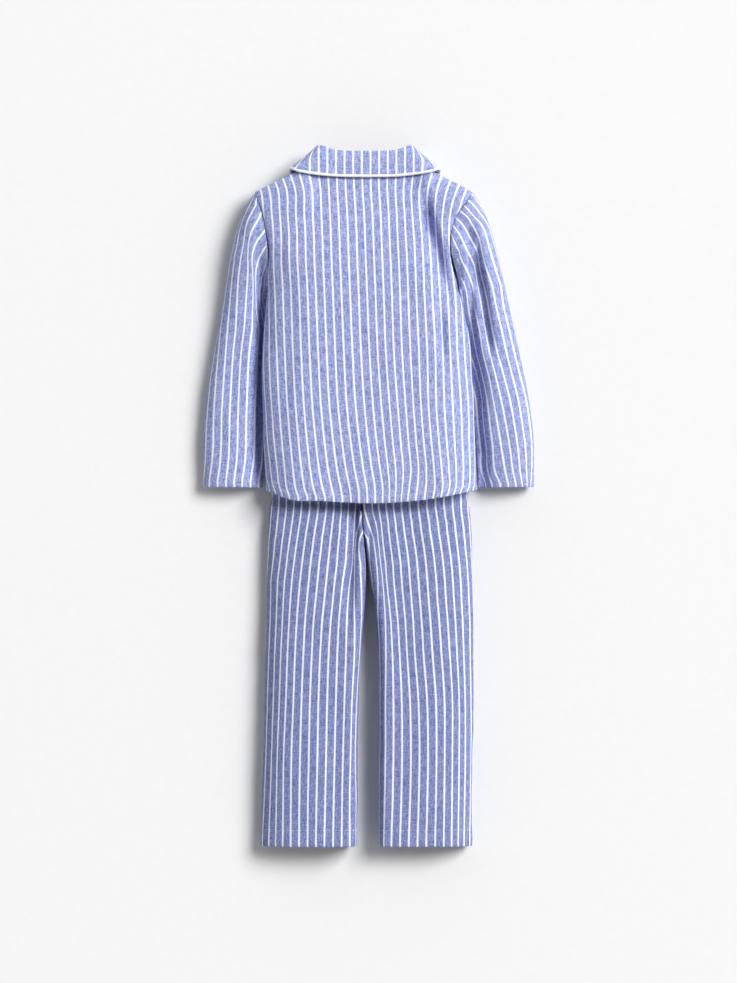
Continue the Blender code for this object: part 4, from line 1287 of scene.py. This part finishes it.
class Nodes:
    """A material's node tree, with short calls to add and join nodes."""

    def __init__(self, name):
        self.material = bpy.data.materials.new(name)
        self.material.use_nodes = True
        self.tree = self.material.node_tree

    def feed(self, socket, value):
        if isinstance(value, bpy.types.NodeSocket):
            self.tree.links.new(value, socket)
        else:
            socket.default_value = value

    def add(self, kind, inputs=None, **settings):
        node = self.tree.nodes.new("ShaderNode" + kind)
        for key, value in settings.items():
            setattr(node, key, value)
        for key, value in (inputs or {}).items():
            self.feed(node.inputs[key], value)
        return node

    def finish(self, inputs):
        """Feed the shader and hand back the material."""
        for key, value in inputs.items():
            self.feed(self.tree.nodes["Principled BSDF"].inputs[key], value)
        return self.material

    def math(self, operation, a, b=0.0, c=0.0):
        return self.add("Math", {0: a, 1: b, 2: c}, operation=operation).outputs[0]

    def times(self, a, b):
        return self.math("MULTIPLY", a, b)

    def less_half(self, value):
        return self.math("SUBTRACT", value, 0.5)

    def stretched(self, x, y, by_x, by_y):
        return self.add("CombineXYZ", {0: self.times(x, by_x), 1: self.times(y, by_y)}).outputs[0]

    def noise(self, vector, scale=1.0, detail=2.0, roughness=0.5):
        inputs = {"Vector": vector, "Scale": scale, "Detail": detail, "Roughness": roughness}
        return self.add("TexNoise", inputs).outputs["Fac"]

    def between(self, value, low, high, to_low=0.0, to_high=1.0, kind="SMOOTHSTEP"):
        inputs = {"Value": value, "From Min": low, "From Max": high, "To Min": to_low, "To Max": to_high}
        return self.add("MapRange", inputs, interpolation_type=kind).outputs["Result"]

    def mix(self, share, a, b):
        node = self.add("Mix", data_type="RGBA")
        sockets = {s.identifier: s for s in node.inputs}
        for name, value in (("Factor_Float", share), ("A_Color", a), ("B_Color", b)):
            self.feed(sockets[name], value)
        return next(s for s in node.outputs if s.identifier == "Result_Color")

    def bump(self, strength, distance, height):
        inputs = {"Strength": strength, "Distance": distance, "Height": height}
        return self.add("Bump", inputs).outputs["Normal"]


def flannel(name, shade, white):
    """Brushed cotton with woven white stripes, mixed yarns, a short nap and a soft sheen."""
    nodes = Nodes(name)
    place = nodes.add("UVMap", uv_map="cloth").outputs["UV"]
    parts = nodes.add("SeparateXYZ", {0: place})
    across, up = parts.outputs["X"], parts.outputs["Y"]
    # How far each place is from the middle of the nearest white stripe, with a wavering, fuzzy edge
    moved = nodes.math("MULTIPLY_ADD", nodes.less_half(nodes.noise(place, 0.25, 3.0)), 0.8, across)
    turn = nodes.math("FRACT", nodes.math("ADD", nodes.math("DIVIDE", moved, STRIPE_PITCH), 0.5))
    off = nodes.times(nodes.math("ABSOLUTE", nodes.less_half(turn)), STRIPE_PITCH)
    off = nodes.math("MULTIPLY_ADD", nodes.less_half(nodes.noise(place, 1.3)), 0.7, off)
    stripe = nodes.between(off, WHITE_HALF - WHITE_SOFT, WHITE_HALF + WHITE_SOFT, 1.0, 0.0)
    yarns = 0.0
    for layer, share in (
        (nodes.noise(nodes.stretched(across, up, 0.65, 0.5), roughness=0.6), 0.36),
        (nodes.noise(nodes.stretched(across, up, 0.7, 0.12), detail=1.0), 0.34),
        (nodes.noise(nodes.stretched(across, up, 0.13, 0.6), detail=1.0), 0.24),
        (nodes.noise(place, 0.09), 0.06),
    ):
        yarns = nodes.math("MULTIPLY_ADD", layer, share, yarns)
    depth = nodes.between(yarns, *YARN_RANGE, kind="LINEAR")
    hue = nodes.between(nodes.noise(nodes.stretched(across, up, 0.6, 0.3), detail=3.0), *HUE_RANGE)
    # shade and white below the jacket's darken the trousers' copy of the cloth, blues and stripes: painted
    # shade
    tints = []
    for tint in BLUES:
        deep, light = ((*np.multiply(blue, shade), 1) for blue in tint)
        tints.append(nodes.mix(depth, deep, light))
    flecks = nodes.noise(place, 0.95, 2.0, 0.7)
    dull = (*[DULL_WHITE * c for c in white], 1)
    pale = nodes.mix(nodes.between(flecks, 0.25, 0.5), dull, (*white, 1))
    weave = nodes.times(*(nodes.math("SINE", nodes.times(way, 2 * np.pi / WEAVE)) for way in (across, up)))
    nap = nodes.noise(place, 2.2, 3.0, 0.65)
    height = nodes.math("MULTIPLY_ADD", weave, 0.14, nodes.math("ADD", nap, nodes.times(yarns, 1.4)))
    return nodes.finish({
        "Base Color": nodes.mix(stripe, nodes.mix(hue, *tints), pale),
        "Roughness": nodes.between(flecks, 0.3, 0.7, 0.86, 0.98),
        "Normal": nodes.bump(0.6, 0.0005, height),
        "Sheen Weight": 0.06,
        "Sheen Roughness": 0.4,
        "Sheen Tint": (0.86, 0.89, 1.0, 1),
        "Specular IOR Level": 0.12,
    })


def mottled(name, grain, deep, light, inputs, rough=None, soft=0.15, broad=None, bump=None):
    """Plain stuff whose colour, and roughness if given, wander with a grain, given as scale and detail."""
    nodes = Nodes(name)
    place = nodes.add("TexCoord").outputs["Object"]
    fine = shade = nodes.noise(place, *grain)
    if broad:
        shade = nodes.math("MULTIPLY_ADD", nodes.noise(place, broad), 0.4, nodes.times(fine, 0.6))
    inputs["Base Color"] = nodes.mix(nodes.between(shade, 0.5 - soft, 0.5 + soft), (*deep, 1), (*light, 1))
    if rough:
        inputs["Roughness"] = nodes.between(fine, 0.3, 0.7, *rough)
    if bump:
        inputs["Normal"] = nodes.bump(*bump, fine)
    return nodes.finish(inputs)


# ---------------- stage


def stage():
    corners = [(x * FLOOR_HALF, y * FLOOR_HALF, 0) for x, y in ((-1, -1), (1, -1), (1, 1), (-1, 1))]
    mesh = bpy.data.meshes.new("floor")
    mesh.from_pydata(corners, [], [(0, 1, 2, 3)])
    paper = {"Roughness": 0.95}
    mesh.materials.append(mottled("floor_paper", (90.0, 3.0), [0.775] * 3, [0.785] * 3, paper, soft=0.2))
    floor = place_in_scene("floor", mesh)
    floor.location.z = -FLOOR_DROP


def camera():
    data = bpy.data.cameras.new("camera")
    data.sensor_width = SENSOR
    data.lens = SENSOR * (CAMERA_HEIGHT - OUTLINE_HEIGHT) / PICTURE_HEIGHT
    data.clip_end = 100.0
    made = place_in_scene("camera", data)
    made.location = (0.0, CAMERA_Y, CAMERA_HEIGHT)
    bpy.context.scene.camera = made


def key_light():
    data = bpy.data.lights.new("key", "AREA")
    data.energy = KEY_POWER
    data.shape = "SQUARE"
    data.size = KEY_SIZE
    made = place_in_scene("key", data)
    flat = KEY_DISTANCE * np.cos(KEY_ELEVATION)
    place = (flat * np.cos(KEY_BEARING), flat * np.sin(KEY_BEARING), KEY_DISTANCE * np.sin(KEY_ELEVATION))
    made.location = place
    made.rotation_mode = "QUATERNION"
    made.rotation_quaternion = (-Vector(place)).to_track_quat("-Z", "Y")


def studio():
    world = bpy.data.worlds.new("studio")
    world.use_nodes = True
    tree = world.node_tree
    direction = tree.nodes.new("ShaderNodeSeparateXYZ")
    tree.links.new(tree.nodes.new("ShaderNodeTexCoord").outputs["Generated"], direction.inputs[0])
    bright = tree.nodes.new("ShaderNodeMapRange")
    for name, value in (("From Min", 0.0), ("From Max", 1.0), ("To Min", ROOM_WALLS), ("To Max", ROOM_TOP)):
        bright.inputs[name].default_value = value
    tree.links.new(direction.outputs["Z"], bright.inputs["Value"])
    tree.links.new(bright.outputs["Result"], tree.nodes["Background"].inputs["Strength"])
    tree.nodes["Background"].inputs["Color"].default_value = (1.0, 1.0, 1.0, 1)
    bpy.context.scene.world = world
    bpy.context.scene.view_settings.view_transform = "Standard"


# ---------------- the set


def build():
    jacket = flannel("flannel", JACKET_SHADE, JACKET_WHITE)
    # The trousers' copy of the flannel is darker all over: painted shade.
    trouser_flannel_in_painted_shade = flannel("trouser_flannel_painted_shade", TROUSER_PAINTED_SHADE, TROUSER_WHITE_IN_PAINTED_SHADE)
    thread = mottled(
        "thread", (900.0, 1.0), (0.5, 0.55, 0.72), (0.68, 0.72, 0.85), {"Sheen Weight": 0.1},
        rough=(0.5, 0.7),
    )
    cotton = mottled(
        "piping_cotton", (1400.0, 2.0), (0.72, 0.74, 0.79), (0.86, 0.87, 0.9), {"Sheen Weight": 0.2},
        rough=(0.75, 0.9), broad=160.0, bump=(0.5, 0.0003),
    )
    plastic = mottled(
        "pearl_plastic", (240.0, 3.0), (0.78, 0.8, 0.84), (0.9, 0.91, 0.93), {"Coat Weight": 0.3},
        rough=(0.22, 0.34),
    )

    def stitched(name, shape, levels, seed, axis=0):
        return sew(name + "_stitches", *level_line(shape, levels, axis), thread, SEED + seed)

    shape = back_shape()
    hem = stitched("jacket_back_hem", shape, HEM_STITCH["jacket"], 100)
    cloth_piece(
        "jacket_back", shape, jacket, flat=(0.33, 0.43), held="laid", area=0.115,
        rests_on=["jacket_front_left", "trouser_back_left"], with_pieces=[hem],
    )
    for side in SIDES:
        node = f"jacket_front_{side}"
        shape = front_shape(side)
        hem = stitched(node + "_hem", shape, HEM_STITCH["jacket"], 101)
        over = arc(shape["points"], 1)
        from_edge = {**shape, "up": over[:, -1:] - over}
        placket = stitched(node + "_placket", from_edge, PLACKET_STITCH, 106, axis=1)
        cloth_piece(
            node, shape, jacket, flat=(0.16, 0.42), held="laid",
            rests_on=["floor"], with_pieces=[hem, placket],
        )
        shape = sleeve_shape(side)
        hem = stitched(f"cuff_{side}", shape, HEM_STITCH["cuff"], 102)
        cloth_piece(
            f"sleeve_{side}", shape, jacket, flat=(0.24, 0.3), held="laid", area=0.062,
            rests_on=["floor"], with_pieces=[hem],
        )
        for node, shape, seed, wide, below in (
            (f"trouser_back_{side}", leg_back_shape(side), 103, 0.15, f"trouser_front_{side}"),
            (f"trouser_front_{side}", leg_front_shape(side), 104, 0.125, "floor"),
        ):
            hem = stitched(node + "_hem", shape, HEM_STITCH["trouser"], seed)
            cloth_piece(
                node, shape, trouser_flannel_in_painted_shade, flat=(wide, 0.54), held="laid", rests_on=[below], with_pieces=[hem],
            )
    shape = collar_shape()
    edge = stitched("collar_edge", shape, shape["up"][:, -1] - COLLAR_STITCH, 105, axis=1)
    cloth_piece(
        "collar", shape, jacket, flat=(0.44, 0.07), held="folded", area=0.0245,
        rests_on=["jacket_back"], with_pieces=[edge],
    )
    cloth_piece(
        "waistband", waistband_shape(), trouser_flannel_in_painted_shade, flat=(0.5, 0.025), held="gathered",
        rests_on=["trouser_back_left"],
    )
    piping(cotton)
    for i in range(1, 5):
        node = bpy.data.objects[f"button_{i}"]
        for slot in node.material_slots:
            slot.material = plastic
        if not node.material_slots:
            node.data.materials.append(plastic)


build()
stage()
camera()
key_light()
studio()
